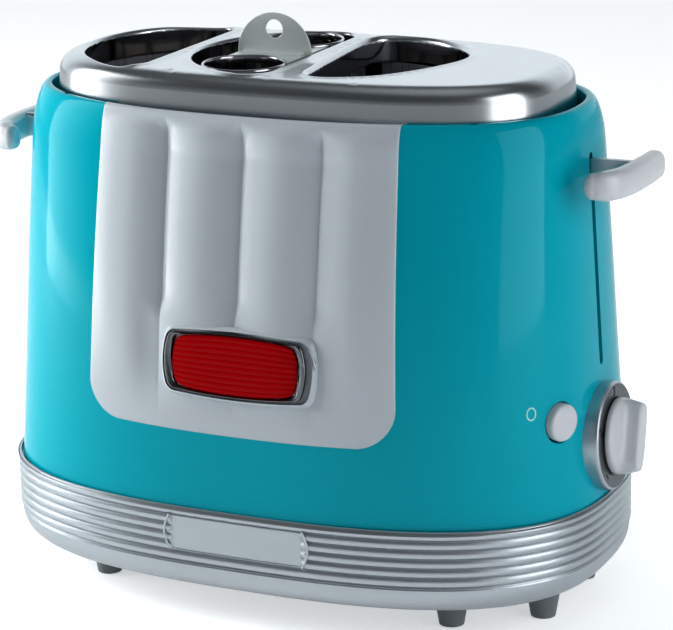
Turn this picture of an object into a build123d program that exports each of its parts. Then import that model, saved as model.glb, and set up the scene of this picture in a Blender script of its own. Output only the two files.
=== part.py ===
from build123d import *
from math import acos, atan2, cos, pi, radians, sin, sqrt
import os

os.makedirs("parts", exist_ok=True)

# ---------------------------------------------------------------- driving dimensions (mm)
# Frame: origin on the table under the middle of the housing, +X to the lever end that
# carries the dial, -Y to the front, +Z up.

# plinth
PLINTH_A, PLINTH_B, PLINTH_N = 134.2, 87.0, 2.68  # half length, half depth, roundness
PLINTH_Z0, PLINTH_Z1 = 13.0, 52.6  # underside and top ledge
BOWL_Z, BOWL_IN = 26.0, 9.0  # height where the bowl starts, how far it draws in
RIB_Z0, RIB_COUNT, RIB_DEPTH = 28.8, 6, 1.0
WALL = 2.5

# housing
HOUSE_A, HOUSE_TAPER = 131.2, 0.060
HOUSE_B, HOUSE_LEAN, HOUSE_BULGE, HOUSE_SPAN = 85.0, 17.0, 12.0, 146.4
SHOULDER_Z, RIM_Z = 194.0, 211.0
RIM_A, RIM_B, RIM_N = 118.3, 66.3, 2.45
CHANNEL_A, CHANNEL_B, CHANNEL_N = 116.45, 64.9, 2.36
SHELF_Z0, SHELF_Z1 = 198.5, 201.0

# steel top
COVER_T = 1.0
COVER_Z = 223.8
COLLAR_Z0, COLLAR_Z1 = 214.0, 225.2
D_LEFT_X, D_LEFT_A = -57.5, 43.5
D_RIGHT_X, D_RIGHT_A = 7.8, 56.5
D_B, D_CORNER = 47.6, 8.0
MID_X, MID_A, MID_B, MID_CORNER = 0.2, 50.7, 50.0, 10.0

# sausage basket
BASKET_X, BASKET_Y = -18.2, 27.0
RING_R, RING_T = 17.0, 1.3
BASKET_Z0, BASKET_Z1 = 142.3, 225.6
TAB_R, TAB_T, TAB_Z, TAB_HOLE_R = 17.0, 1.2, 224.2, 4.0

# carriage
TRAVEL = 78.0
CAR_Z0, CAR_Z1 = 180.0, 184.0
CAR_A, CAR_B, CAR_N, CAR_W = 116.0, 64.5, 2.8, 4.5
ROD_X, ROD_Y, ROD_R = 112.5, 18.0, 2.0
RACK_LEFT_X, RACK_RIGHT_X = -74.0, 32.0
RACK_Z = 140.5
ARM_T, ARM_Z0, ARM_Z1 = 2.6, 184.0, 190.0
SLOT_W, SLOT_Z0, SLOT_Z1 = 3.7, 103.8, 192.2
ARM_X, ARM_L = 127.2, 30.4
PADDLE_Z, PADDLE_H, PADDLE_W = 184.5, 12.0, 4.6
PADDLE_PATH = (
    (132.8, -25.6), (135.5, -24.4), (138.2, -21.5), (140.5, -16.7), (141.9, -10.5),
    (142.6, -3.5), (142.9, 4.0), (143.1, 11.5), (143.0, 20.4),
)

# controls
DIAL_Y, DIAL_Z = -1.5, 74.0
DIAL_R, DIAL_FACE = 22.5, 5.5
KNOB_R, KNOB_TIP, KNOB_TURN = 16.0, 17.0, -22.0
SHAFT_R = 3.0
BUTTON_R, BUTTON_Z, BUTTON_Y = 7.75, 89.2, -36.0
BUTTON_PROUD, BUTTON_TRAVEL = 3.0, 2.5

# front panel and trims
PANEL_TOP_X, PANEL_LOW_X, PANEL_LOW_Z, PANEL_R = 65.5, 69.6, 82.4, 17.0
PANEL_T = 1.6
FLUTE = 34.5
BADGE_Z, BADGE_W, BADGE_H = 112.0, 63.6, 22.4
PLATE_W, PLATE_Z0, PLATE_Z1 = 62.0, 33.4, 48.0

# chassis
FLOOR_Z0, FLOOR_Z1 = 52.6, 54.1
WELL_Z0, WELL_Z1 = 58.0, 213.5


def oval(a, b, n, count=24):
    """Points round a superellipse, evenly spread in direction."""
    pts = []
    for i in range(count):
        t = 2 * pi * i / count
        f = atan2(b * sin(t), a * cos(t))
        r = (abs(cos(f) / a) ** n + abs(sin(f) / b) ** n) ** (-1 / n)
        pts.append((r * cos(f), r * sin(f)))
    return pts


def dee(x0, a, b, r, side, t):
    """D outline: straight side, rounded corners and a half ellipse, grown by t all round."""
    xc = x0 + side * r
    ye = (b + t) * sqrt(1 - (r / (a + t)) ** 2)
    start = acos(r / (a + t))
    curve = []
    for i in range(13):
        f = start * (1 - i / 6)
        curve.append((x0 + side * (a + t) * cos(f), (b + t) * sin(f)))
    return x0 - side * t, xc, ye, r + t, curve


def house(z):
    """Half length, half depth and roundness of the housing wall at a height."""
    s = (z - PLINTH_Z1) / HOUSE_SPAN
    return (
        HOUSE_A - HOUSE_TAPER * (z - PLINTH_Z1),
        HOUSE_B - HOUSE_LEAN * s + HOUSE_BULGE * s * (1 - s),
        2.62 + 0.2 * s,
    )


def shoulder(angle):
    """Section of the rolled shoulder, 0 at the wall and 90 at the rim."""
    a, b, n = house(SHOULDER_Z)
    c, s = cos(radians(angle)), sin(radians(angle))
    z = SHOULDER_Z + (RIM_Z - SHOULDER_Z) * s
    return z, RIM_A + (a - RIM_A) * c, RIM_B + (b - RIM_B) * c, n + (RIM_N - n) * s


def house_front(x, z, inset=0.0):
    a, b, n = house(z)
    a, b = a - inset, b - inset
    return -b * (1 - abs(x / a) ** n) ** (1 / n)


def bowl(z):
    """How far the plinth wall is drawn in at a height below the ribs."""
    if z >= BOWL_Z:
        return 0.0
    k = (BOWL_Z - z) / (BOWL_Z - PLINTH_Z0)
    return BOWL_IN * (1 - sqrt(max(0.0, 1 - k * k)))


# sections of the wall at even heights, then of the shoulder
WALL_STEPS = [PLINTH_Z1 + (SHOULDER_Z - PLINTH_Z1) * k / 4 for k in range(5)]
SHOULDER_STEPS = (0, 22, 44, 64, 80, 90)
CAVITY_STEPS = [PLINTH_Z1 + (SHELF_Z0 - PLINTH_Z1) * k / 4 for k in range(5)]

PLINTH_OUT = []
for z in (PLINTH_Z0, 13.6, 15.0, 17.5, 21.0, BOWL_Z):
    PLINTH_OUT.append(
        (z, PLINTH_A - RIB_DEPTH - bowl(z), PLINTH_B - RIB_DEPTH - bowl(z))
    )
RIB_PITCH = (PLINTH_Z1 - RIB_Z0) / RIB_COUNT
for k in range(RIB_COUNT):
    for part, depth in ((0.0, RIB_DEPTH), (0.3, 0.06), (0.7, 0.06)):
        PLINTH_OUT.append(
            (RIB_Z0 + RIB_PITCH * (k + part), PLINTH_A - depth, PLINTH_B - depth)
        )
PLINTH_OUT.append((PLINTH_Z1, PLINTH_A - RIB_DEPTH, PLINTH_B - RIB_DEPTH))

# dial axis: square to the tapered end wall
TILT = atan2(HOUSE_TAPER, 1.0)
DIAL_AXIS = (cos(TILT), 0.0, sin(TILT))
DIAL_O = (house(DIAL_Z)[0], DIAL_Y, DIAL_Z)


def dial_plane(s):
    """Plane square to the dial axis, s outwards of the end wall, its X along +Y."""
    return Plane(
        origin=(DIAL_O[0] + s * DIAL_AXIS[0], DIAL_Y, DIAL_Z + s * DIAL_AXIS[2]),
        x_dir=(0, 1, 0),
        z_dir=DIAL_AXIS,
    )


# button axis: level, square to the wall where the button sits
_a, _b, _n = house(BUTTON_Z)
BUTTON_X = _a * (1 - abs(BUTTON_Y / _b) ** _n) ** (1 / _n)
_gx = (BUTTON_X / _a) ** (_n - 1) / _a
_gy = -((abs(BUTTON_Y) / _b) ** (_n - 1)) / _b
_g = sqrt(_gx * _gx + _gy * _gy)
BUTTON_AXIS = (_gx / _g, _gy / _g, 0.0)


def button_plane(s):
    return Plane(
        origin=(BUTTON_X + s * BUTTON_AXIS[0], BUTTON_Y + s * BUTTON_AXIS[1], BUTTON_Z),
        x_dir=(-BUTTON_AXIS[1], BUTTON_AXIS[0], 0),
        z_dir=BUTTON_AXIS,
    )


# plane of the badge, leaning back with the panel
_y1, _y0 = house_front(0, BADGE_Z + 10), house_front(0, BADGE_Z - 10)
LEAN = atan2(_y1 - _y0, 20.0)


def badge_plane(s):
    return Plane(
        origin=(0, house_front(0, BADGE_Z) - s * cos(LEAN), BADGE_Z + s * sin(LEAN)),
        x_dir=(1, 0, 0),
        z_dir=(0, -cos(LEAN), sin(LEAN)),
    )


FEET = [(x * 80.5, y * 47.0) for x in (-1, 1) for y in (-1, 1)]
FEET += [(x * 112.0, y * 24.0) for x in (-1, 1) for y in (-1, 1)]
BASE_SCREWS = [(-116, 0), (116, 0)] + [(x * 70, y * 62) for x in (-1, 1) for y in (-1, 1)]
HOUSE_SCREWS = [(x * 60.0, y * 74.6) for x in (-1, 1) for y in (-1, 1)]
RODS = [(x * ROD_X, y * ROD_Y) for x in (-1, 1) for y in (-1, 1)]
UP = (Align.CENTER, Align.CENTER, Align.MIN)

# ---------------------------------------------------------------- base
# Ribbed plinth: hollow ring with a ledge on top, a lip below and a slot for the tray.
with BuildPart() as base_plinth:
    for z, a, b in PLINTH_OUT:
        with BuildSketch(Plane.XY.offset(z)):
            with BuildLine():
                Spline(*oval(a, b, PLINTH_N), periodic=True)
            make_face()
    loft(ruled=True)
    for z, inset in ((16.6, 5.8), (21.0, 3.6), (BOWL_Z, 3.0), (50.1, 3.0)):
        with BuildSketch(Plane.XY.offset(z)):
            with BuildLine():
                Spline(*oval(PLINTH_A - inset, PLINTH_B - inset, PLINTH_N), periodic=True)
            make_face()
    loft(ruled=True, mode=Mode.SUBTRACT)
    with BuildSketch(Plane.XY.offset(PLINTH_Z0)):
        with BuildLine():
            Spline(*oval(121.0, 74.0, 2.6), periodic=True)
        make_face()
    extrude(amount=1.6, mode=Mode.SUBTRACT)
    with BuildSketch(Plane.XY.offset(PLINTH_Z0 + 1.6)):
        with BuildLine():
            Spline(*oval(112.0, 66.0, 2.6), periodic=True)
        make_face()
    extrude(amount=2.0, mode=Mode.SUBTRACT)
    with BuildSketch(Plane.XY.offset(50.1)):
        with BuildLine():
            Spline(*oval(112.0, 62.0, 2.7), periodic=True)
        make_face()
    extrude(amount=2.5, mode=Mode.SUBTRACT)
    # tray slot in the rear wall
    with Locations((0, 78, 16.9)):
        Box(121.0, 36.0, 12.0, align=UP, mode=Mode.SUBTRACT)
    # screw holes in the lip and in the ledge
    with BuildSketch(Plane.XY.offset(PLINTH_Z0)):
        with Locations(*BASE_SCREWS):
            Circle(1.5)
    extrude(amount=3.6, mode=Mode.SUBTRACT)
    with BuildSketch(Plane.XY.offset(50.1)):
        with Locations(*HOUSE_SCREWS):
            Circle(1.5)
    extrude(amount=2.5, mode=Mode.SUBTRACT)
    # hollow for the lower edge of the dial
    with BuildSketch(dial_plane(-5.0)):
        Circle(DIAL_R)
    extrude(amount=12.0, mode=Mode.SUBTRACT)
    # seat of the blank plate across the ribs
    with BuildSketch(Plane.XZ.offset(PLINTH_B - 2.2)):
        with Locations((0, (PLATE_Z0 + PLATE_Z1) / 2)):
            RectangleRounded(PLATE_W, PLATE_Z1 - PLATE_Z0, 2.0)
    extrude(amount=4.0, mode=Mode.SUBTRACT)
base_plinth.part.label = "base_plinth"
export_step(base_plinth.part, "parts/base_plinth.step")

# Blank plate on the front of the plinth, curved with it.
with BuildPart() as nameplate:
    with BuildSketch(Plane.XY.offset(PLATE_Z0)):
        with BuildLine():
            Spline(*oval(PLINTH_A, PLINTH_B, PLINTH_N), periodic=True)
        make_face()
    extrude(amount=PLATE_Z1 - PLATE_Z0)
    with BuildSketch(Plane.XZ.offset(PLINTH_B - 2.2)):
        with Locations((0, (PLATE_Z0 + PLATE_Z1) / 2)):
            RectangleRounded(PLATE_W, PLATE_Z1 - PLATE_Z0, 2.0)
    extrude(amount=4.0, mode=Mode.INTERSECT)
nameplate.part.label = "nameplate"
export_step(nameplate.part, "parts/nameplate.step")

# Bottom plate under the lip, with vents.
with BuildPart() as bottom_plate:
    with BuildSketch(Plane.XY.offset(PLINTH_Z0)):
        with BuildLine():
            Spline(*oval(120.5, 73.5, 2.6), periodic=True)
        make_face()
        with Locations(*BASE_SCREWS):
            Circle(1.7, mode=Mode.SUBTRACT)
        with GridLocations(13.0, 44.0, 6, 2):
            SlotOverall(26.0, 4.0, rotation=90, mode=Mode.SUBTRACT)
    extrude(amount=1.6)
bottom_plate.part.label = "bottom_plate"
export_step(bottom_plate.part, "parts/bottom_plate.step")

# Tapered feet with a pocket for the pad.
with BuildPart() as feet:
    with Locations(*[(x, y, 0.4) for x, y in FEET]):
        Cone(5.2, 7.4, 12.6, align=UP)
        Cylinder(4.2, 1.2, align=UP, mode=Mode.SUBTRACT)
feet.part.label = "feet"
export_step(feet.part, "parts/feet.step")

with BuildPart() as foot_pads:
    with Locations(*[(x, y, 0.0) for x, y in FEET]):
        Cylinder(4.2, 1.6, align=UP)
foot_pads.part.label = "foot_pads"
export_step(foot_pads.part, "parts/foot_pads.step")

# Screws that hold the bottom plate to the lip.
with BuildPart() as base_screws:
    with Locations(*[(x, y, PLINTH_Z0 - 1.6) for x, y in BASE_SCREWS]):
        Cylinder(2.8, 1.6, align=UP)
    with Locations(*[(x, y, PLINTH_Z0) for x, y in BASE_SCREWS]):
        Cylinder(1.5, 3.6, align=UP)
base_screws.part.label = "base_screws"
export_step(base_screws.part, "parts/base_screws.step")

# Screws from the ledge up into the housing bosses.
with BuildPart() as housing_screws:
    with Locations(*[(x, y, 48.4) for x, y in HOUSE_SCREWS]):
        Cylinder(2.8, 1.7, align=UP)
    with Locations(*[(x, y, 50.1) for x, y in HOUSE_SCREWS]):
        Cylinder(1.5, 11.0, align=UP)
housing_screws.part.label = "housing_screws"
export_step(housing_screws.part, "parts/housing_screws.step")

# Rails that guide the crumb tray.
with BuildPart() as tray_rails:
    with Locations((-57.5, -2, 14.6), (57.5, -2, 14.6)):
        Box(7.0, 112.0, 2.3, align=UP)
    with Locations((-59.8, -2, 16.9), (59.8, -2, 16.9)):
        Box(2.4, 112.0, 5.0, align=UP)
tray_rails.part.label = "tray_rails"
export_step(tray_rails.part, "parts/tray_rails.step")

# Crumb tray: a shallow pan with a curved end that closes the slot, and a finger pull.
with BuildPart() as crumb_tray:
    for z, a, b in PLINTH_OUT:
        if z < 36:
            with BuildSketch(Plane.XY.offset(z)):
                with BuildLine():
                    Spline(*oval(a, b, PLINTH_N), periodic=True)
                make_face()
    loft(ruled=True)
    with Locations((0, 86.5, 17.2)):
        Box(120.0, 16.0, 11.4, align=UP, mode=Mode.INTERSECT)
    with Locations((0, 90.5, 17.2)):
        Box(30.0, 14.0, 5.0, align=UP, mode=Mode.SUBTRACT)
    with Locations((0, 10.25, 17.2)):
        Box(116.0, 136.5, 1.0, align=UP)
    with Locations((-57.5, 10.25, 18.2), (57.5, 10.25, 18.2)):
        Box(1.0, 136.5, 7.8, align=UP)
    with Locations((0, -57.5, 18.2)):
        Box(116.0, 1.0, 7.8, align=UP)
crumb_tray.part.label = "crumb_tray"
export_step(crumb_tray.part, "parts/crumb_tray.step")

# ---------------------------------------------------------------- housing
# Full body of the housing: oval wall and rolled shoulder.
with BuildPart() as house_solid:
    for z in WALL_STEPS:
        with BuildSketch(Plane.XY.offset(z)):
            with BuildLine():
                Spline(*oval(*house(z)), periodic=True)
            make_face()
    loft()
    for angle in SHOULDER_STEPS:
        z, a, b, n = shoulder(angle)
        with BuildSketch(Plane.XY.offset(z)):
            with BuildLine():
                Spline(*oval(a, b, n), periodic=True)
            make_face()
    loft(ruled=True)

# The same body one panel thickness in, thinner over the shoulder.
with BuildPart() as panel_core:
    for z in WALL_STEPS:
        a, b, n = house(z)
        with BuildSketch(Plane.XY.offset(z)):
            with BuildLine():
                Spline(*oval(a - PANEL_T, b - PANEL_T, n), periodic=True)
            make_face()
    loft()
    for angle in SHOULDER_STEPS:
        z, a, b, n = shoulder(angle)
        inset = PANEL_T - 0.6 * angle / 90
        with BuildSketch(Plane.XY.offset(z)):
            with BuildLine():
                Spline(*oval(a - inset, b - inset, n), periodic=True)
            make_face()
    loft(ruled=True)

# Region of the shell that the front panel takes, a little larger than the panel.
with BuildPart() as panel_seat:
    with BuildSketch(Plane.XZ.offset(30.0)):
        with BuildLine():
            Polyline(
                (-PANEL_TOP_X, 230), (-PANEL_LOW_X, PANEL_LOW_Z),
                (PANEL_LOW_X, PANEL_LOW_Z), (PANEL_TOP_X, 230), close=True,
            )
        make_face()
        fillet(vertices().group_by(Axis.Y)[0], PANEL_R)
        offset(amount=0.1)
    extrude(amount=80.0)
    add(panel_core.part, mode=Mode.SUBTRACT)
    with Locations((0, -70, RIM_Z)):
        Box(200, 100, 40, align=UP, mode=Mode.SUBTRACT)

with BuildPart() as front_panel:
    with BuildSketch(Plane.XZ.offset(30.0)):
        with BuildLine():
            Polyline(
                (-PANEL_TOP_X, 230), (-PANEL_LOW_X, PANEL_LOW_Z),
                (PANEL_LOW_X, PANEL_LOW_Z), (PANEL_TOP_X, 230), close=True,
            )
        make_face()
        fillet(vertices().group_by(Axis.Y)[0], PANEL_R)
    extrude(amount=80.0)
    add(house_solid.part, mode=Mode.INTERSECT)
    add(panel_core.part, mode=Mode.SUBTRACT)
    # valleys between the flutes
    for x in (-FLUTE, 0.0, FLUTE):
        for z in (96.0, 110.0, 130.0, 150.0, 170.0, 186.0, 194.0):
            deep = 0.1 if z < 100 else 0.9
            y = house_front(x, z)
            with BuildSketch(Plane.XY.offset(z)):
                with BuildLine():
                    Polyline((x - 4, y - 2), (x + 4, y - 2), (x, y + deep), close=True)
                make_face()
        loft(ruled=True, mode=Mode.SUBTRACT)
    # seat of the badge
    with BuildSketch(badge_plane(-0.8)):
        RectangleRounded(BADGE_W, BADGE_H, 5.0)
    extrude(amount=6.0, mode=Mode.SUBTRACT)
front_panel.part.label = "front_panel"
export_step(front_panel.part, "parts/front_panel.step")

# Hollow housing: tapered oval wall, rolled shoulder and rim channel.
with BuildPart() as house_hollow:
    add(house_solid.part)
    for z in CAVITY_STEPS:
        a, b, n = house(z)
        with BuildSketch(Plane.XY.offset(z)):
            with BuildLine():
                Spline(*oval(a - WALL, b - WALL, n), periodic=True)
            make_face()
    loft(mode=Mode.SUBTRACT)
    with BuildSketch(Plane.XY.offset(SHELF_Z0)):
        with BuildLine():
            Spline(*oval(CHANNEL_A, CHANNEL_B, CHANNEL_N), periodic=True)
        make_face()
    extrude(amount=15.0, mode=Mode.SUBTRACT)
    add(panel_seat.part, mode=Mode.SUBTRACT)
    # bosses for the screws from below
    with BuildSketch(Plane.XY.offset(PLINTH_Z1)):
        with Locations(*HOUSE_SCREWS):
            Circle(4.0)
    extrude(amount=14.0)
    with BuildSketch(Plane.XY.offset(PLINTH_Z1)):
        with Locations(*HOUSE_SCREWS):
            Circle(1.5)
    extrude(amount=8.5, mode=Mode.SUBTRACT)
    # lever slots in both ends
    with Locations((-125, 0, SLOT_Z0), (125, 0, SLOT_Z0)):
        Box(24.0, SLOT_W, SLOT_Z1 - SLOT_Z0, align=UP, mode=Mode.SUBTRACT)
    # holes for the timer shaft, the button and the cord gland
    with BuildSketch(dial_plane(-12)):
        Circle(6.0)
    extrude(amount=24.0, mode=Mode.SUBTRACT)
    with BuildSketch(button_plane(-12)):
        Circle(BUTTON_R + 0.4)
    extrude(amount=24.0, mode=Mode.SUBTRACT)
    with BuildSketch(Plane.XZ.offset(-60.0)):
        with Locations((-70.0, 68.0)):
            Circle(6.5)
    extrude(amount=-40.0, mode=Mode.SUBTRACT)

# Two half shells that meet at the lever slots.
with BuildPart() as housing_front:
    add(house_hollow.part)
    with Locations((0, 0, 40)):
        Box(300, 120, 200, align=(Align.CENTER, Align.MIN, Align.MIN), mode=Mode.SUBTRACT)
housing_front.part.label = "housing_front"
export_step(housing_front.part, "parts/housing_front.step")

with BuildPart() as housing_rear:
    add(house_hollow.part)
    with Locations((0, 0, 40)):
        Box(300, 120, 200, align=(Align.CENTER, Align.MAX, Align.MIN), mode=Mode.SUBTRACT)
housing_rear.part.label = "housing_rear"
export_step(housing_rear.part, "parts/housing_rear.step")

# Shelf on top of the guide rods that carries the steel top.
with BuildPart() as cover_shelf:
    with BuildSketch(Plane.XY.offset(SHELF_Z0)):
        with BuildLine():
            Spline(*oval(CHANNEL_A - 0.2, CHANNEL_B - 0.2, CHANNEL_N), periodic=True)
        make_face()
        with BuildLine():
            Spline(*oval(107.0, 55.0, 2.9), periodic=True)
        make_face(mode=Mode.SUBTRACT)
    extrude(amount=SHELF_Z1 - SHELF_Z0)
cover_shelf.part.label = "cover_shelf"
export_step(cover_shelf.part, "parts/cover_shelf.step")

# Badge: metal frame and ribbed insert.
with BuildPart() as badge_frame:
    with BuildSketch(badge_plane(-0.8)):
        RectangleRounded(BADGE_W, BADGE_H, 5.0)
        RectangleRounded(BADGE_W - 5.0, BADGE_H - 5.0, 3.2, mode=Mode.SUBTRACT)
    extrude(amount=3.0)
badge_frame.part.label = "badge_frame"
export_step(badge_frame.part, "parts/badge_frame.step")

with BuildPart() as badge_insert:
    with BuildSketch(badge_plane(-0.8)):
        RectangleRounded(BADGE_W - 5.0, BADGE_H - 5.0, 3.2)
    extrude(amount=1.6)
    with BuildSketch(badge_plane(0.8)):
        with GridLocations(1, 1.6, 1, 10):
            Rectangle(BADGE_W - 8.0, 0.8)
    extrude(amount=0.5)
badge_insert.part.label = "badge_insert"
export_step(badge_insert.part, "parts/badge_insert.step")

# ---------------------------------------------------------------- steel top
with BuildPart() as top_cover:
    for z, a, b, n in (
        (SHELF_Z1, 112.3, 60.0, 2.75), (209, 111.8, 59.4, 2.80), (215.4, 111.2, 58.6, 2.84),
        (219.0, 110.1, 57.5, 2.86), (221.6, 108.3, 55.6, 2.88), (223.2, 105.7, 53.0, 2.90),
        (COVER_Z, 102.8, 50.2, 2.92),
    ):
        with BuildSketch(Plane.XY.offset(z)):
            with BuildLine():
                Spline(*oval(a, b, n), periodic=True)
            make_face()
    loft(ruled=True)
    for z, a, b, n in (
        (SHELF_Z1, 111.3, 59.0, 2.75), (209, 110.8, 58.4, 2.80), (215.0, 110.1, 57.5, 2.84),
        (218.4, 108.9, 56.3, 2.86), (220.8, 107.0, 54.3, 2.88), (COVER_Z - 1.2, 102.8, 50.2, 2.90),
    ):
        with BuildSketch(Plane.XY.offset(z)):
            with BuildLine():
                Spline(*oval(a, b, n), periodic=True)
            make_face()
    loft(ruled=True, mode=Mode.SUBTRACT)
    # collars round the three openings, then the openings themselves
    for wall, z, height, how in (
        (COVER_T, COLLAR_Z0, COLLAR_Z1 - COLLAR_Z0, Mode.ADD),
        (0.0, COLLAR_Z0 - 1, COLLAR_Z1 - COLLAR_Z0 + 4, Mode.SUBTRACT),
    ):
        for x0, a, b, corner, side in (
            (D_LEFT_X, D_LEFT_A, D_B, D_CORNER, -1),
            (MID_X, MID_A, MID_B, MID_CORNER, -1),
            (D_RIGHT_X, D_RIGHT_A, D_B, D_CORNER, 1),
        ):
            xs, xc, ye, r, curve = dee(x0, a, b, corner, side, wall)
            k = r * sqrt(0.5)
            with BuildSketch(Plane.XY.offset(z)):
                with BuildLine():
                    Line((xs, r - ye), (xs, ye - r))
                    ThreePointArc((xs, ye - r), (xc - side * k, ye - r + k), (xc, ye))
                    Spline(*curve, tangents=[(side, 0), (-side, 0)])
                    ThreePointArc((xc, -ye), (xc - side * k, r - ye - k), (xs, r - ye))
                make_face()
            extrude(amount=height, mode=how)
top_cover.part.label = "top_cover"
export_step(top_cover.part, "parts/top_cover.step")

# ---------------------------------------------------------------- chassis and wells
with BuildPart() as chassis_floor:
    with BuildSketch(Plane.XY.offset(FLOOR_Z0)):
        with BuildLine():
            Spline(*oval(118.0, 67.5, 2.7), periodic=True)
        make_face()
        with Locations((-80, 0)):
            RectangleRounded(38.0, 84.0, 6.0, mode=Mode.SUBTRACT)
        with Locations((-25.5, 0)):
            RectangleRounded(44.0, 86.0, 6.0, mode=Mode.SUBTRACT)
        with Locations((36, 0)):
            RectangleRounded(50.0, 84.0, 6.0, mode=Mode.SUBTRACT)
    extrude(amount=FLOOR_Z1 - FLOOR_Z0)
chassis_floor.part.label = "chassis_floor"
export_step(chassis_floor.part, "parts/chassis_floor.step")

# Curved well liners, open towards the heaters, slotted for the racks' cross bars.
with BuildPart() as bun_liner_left:
    with BuildSketch(Plane.XY.offset(WELL_Z0)):
        with Locations((D_LEFT_X, 0)):
            Ellipse(D_LEFT_A + 2.4, D_B + 2.4)
            Ellipse(D_LEFT_A + 1.6, D_B + 1.6, mode=Mode.SUBTRACT)
        with Locations((D_LEFT_X - 2.0, -60)):
            Rectangle(80, 120, align=(Align.MIN, Align.MIN), mode=Mode.SUBTRACT)
    extrude(amount=WELL_Z1 - WELL_Z0)
    with Locations((RACK_LEFT_X, 0, WELL_Z0)):
        Box(8.0, 130.0, 86.0, align=UP, mode=Mode.SUBTRACT)
    with Locations((-65, 0, FLOOR_Z1)):
        Box(6.0, 102.0, WELL_Z0 - FLOOR_Z1, align=UP)
        Box(8.0, 92.0, WELL_Z0 - FLOOR_Z1, align=UP, mode=Mode.SUBTRACT)
bun_liner_left.part.label = "bun_liner_left"
export_step(bun_liner_left.part, "parts/bun_liner_left.step")

with BuildPart() as bun_liner_right:
    with BuildSketch(Plane.XY.offset(WELL_Z0)):
        with Locations((D_RIGHT_X, 0)):
            Ellipse(D_RIGHT_A + 2.4, D_B + 2.4)
            Ellipse(D_RIGHT_A + 1.6, D_B + 1.6, mode=Mode.SUBTRACT)
        with Locations((D_RIGHT_X + 2.0, -60)):
            Rectangle(80, 120, align=(Align.MAX, Align.MIN), mode=Mode.SUBTRACT)
    extrude(amount=WELL_Z1 - WELL_Z0)
    with Locations((RACK_RIGHT_X, 0, WELL_Z0)):
        Box(8.0, 130.0, 86.0, align=UP, mode=Mode.SUBTRACT)
    with Locations((22, 0, FLOOR_Z1)):
        Box(6.0, 102.0, WELL_Z0 - FLOOR_Z1, align=UP)
        Box(8.0, 92.0, WELL_Z0 - FLOOR_Z1, align=UP, mode=Mode.SUBTRACT)
bun_liner_right.part.label = "bun_liner_right"
export_step(bun_liner_right.part, "parts/bun_liner_right.step")

with BuildPart() as sausage_end_walls:
    with Locations((-25.5, -48.4, FLOOR_Z1), (-25.5, 48.4, FLOOR_Z1)):
        Box(50.0, 0.8, WELL_Z1 - FLOOR_Z1, align=UP)
    with Locations((BASKET_X, 0, WELL_Z0)):
        Box(8.0, 110.0, 86.0, align=UP, mode=Mode.SUBTRACT)
sausage_end_walls.part.label = "sausage_end_walls"
export_step(sausage_end_walls.part, "parts/sausage_end_walls.step")

# Heater boards stand between the wells, under the bars of the cover.
HEAT_LEFT, HEAT_RIGHT = -54.0, 3.65
with BuildPart() as heater_board_left:
    with Locations((HEAT_LEFT, 0, 60.0)):
        Box(1.0, 88.0, 153.0, align=UP)
heater_board_left.part.label = "heater_board_left"
export_step(heater_board_left.part, "parts/heater_board_left.step")

with BuildPart() as heater_board_right:
    with Locations((HEAT_RIGHT, 0, 60.0)):
        Box(1.0, 88.0, 153.0, align=UP)
heater_board_right.part.label = "heater_board_right"
export_step(heater_board_right.part, "parts/heater_board_right.step")

with BuildPart() as heater_ribbons:
    for x in (HEAT_LEFT, HEAT_RIGHT):
        for side in (-1, 1):
            with Locations(*[(x + side * 0.7, 0, 68.0 + 13.0 * k) for k in range(11)]):
                Box(0.4, 84.0, 1.6, align=UP)
heater_ribbons.part.label = "heater_ribbons"
export_step(heater_ribbons.part, "parts/heater_ribbons.step")

with BuildPart() as heater_bridges:
    for x in (HEAT_LEFT, HEAT_RIGHT):
        with Locations((x, 0, FLOOR_Z1)):
            Box(8.6, 92.0, 60.0 - FLOOR_Z1, align=UP)
        with Locations((x, 0, 213.0)):
            Box(6.8, 88.0, 1.0, align=UP)
heater_bridges.part.label = "heater_bridges"
export_step(heater_bridges.part, "parts/heater_bridges.step")

GUARD_R = 0.7
with BuildPart() as guard_wires:
    for x in (HEAT_LEFT, HEAT_RIGHT):
        for side in (-1, 1):
            with Locations(*[(x + side * 2.6, -36.0 + 12.0 * k, 60.0) for k in range(7)]):
                Cylinder(GUARD_R, 153.0, align=UP)
guard_wires.part.label = "guard_wires"
export_step(guard_wires.part, "parts/guard_wires.step")

# ---------------------------------------------------------------- carriage
with BuildPart() as guide_rods:
    with Locations(*[(x, y, FLOOR_Z1) for x, y in RODS]):
        Cylinder(ROD_R, SHELF_Z0 - FLOOR_Z1, align=UP)
guide_rods.part.label = "guide_rods"
export_step(guide_rods.part, "parts/guide_rods.step")

BUSH_R, BUSH_Z0, BUSH_Z1 = 4.0, 178.0, 190.0
with BuildPart() as carriage_ring:
    with BuildSketch(Plane.XY.offset(CAR_Z0)):
        with BuildLine():
            Spline(*oval(CAR_A, CAR_B, CAR_N), periodic=True)
        make_face()
        with Locations(*RODS):
            Circle(6.0)
        with BuildLine():
            Spline(*oval(CAR_A - CAR_W, CAR_B - CAR_W, CAR_N), periodic=True)
        make_face(mode=Mode.SUBTRACT)
        with Locations(*RODS):
            Circle(6.0)
            Circle(BUSH_R, mode=Mode.SUBTRACT)
    extrude(amount=CAR_Z1 - CAR_Z0)
carriage_ring.part.label = "carriage_ring"
export_step(carriage_ring.part, "parts/carriage_ring.step")

with BuildPart() as carriage_bushes:
    with BuildSketch(Plane.XY.offset(BUSH_Z0)):
        with Locations(*RODS):
            Circle(BUSH_R)
            Circle(ROD_R + 0.06, mode=Mode.SUBTRACT)
    extrude(amount=BUSH_Z1 - BUSH_Z0)
carriage_bushes.part.label = "carriage_bushes"
export_step(carriage_bushes.part, "parts/carriage_bushes.step")

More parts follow.
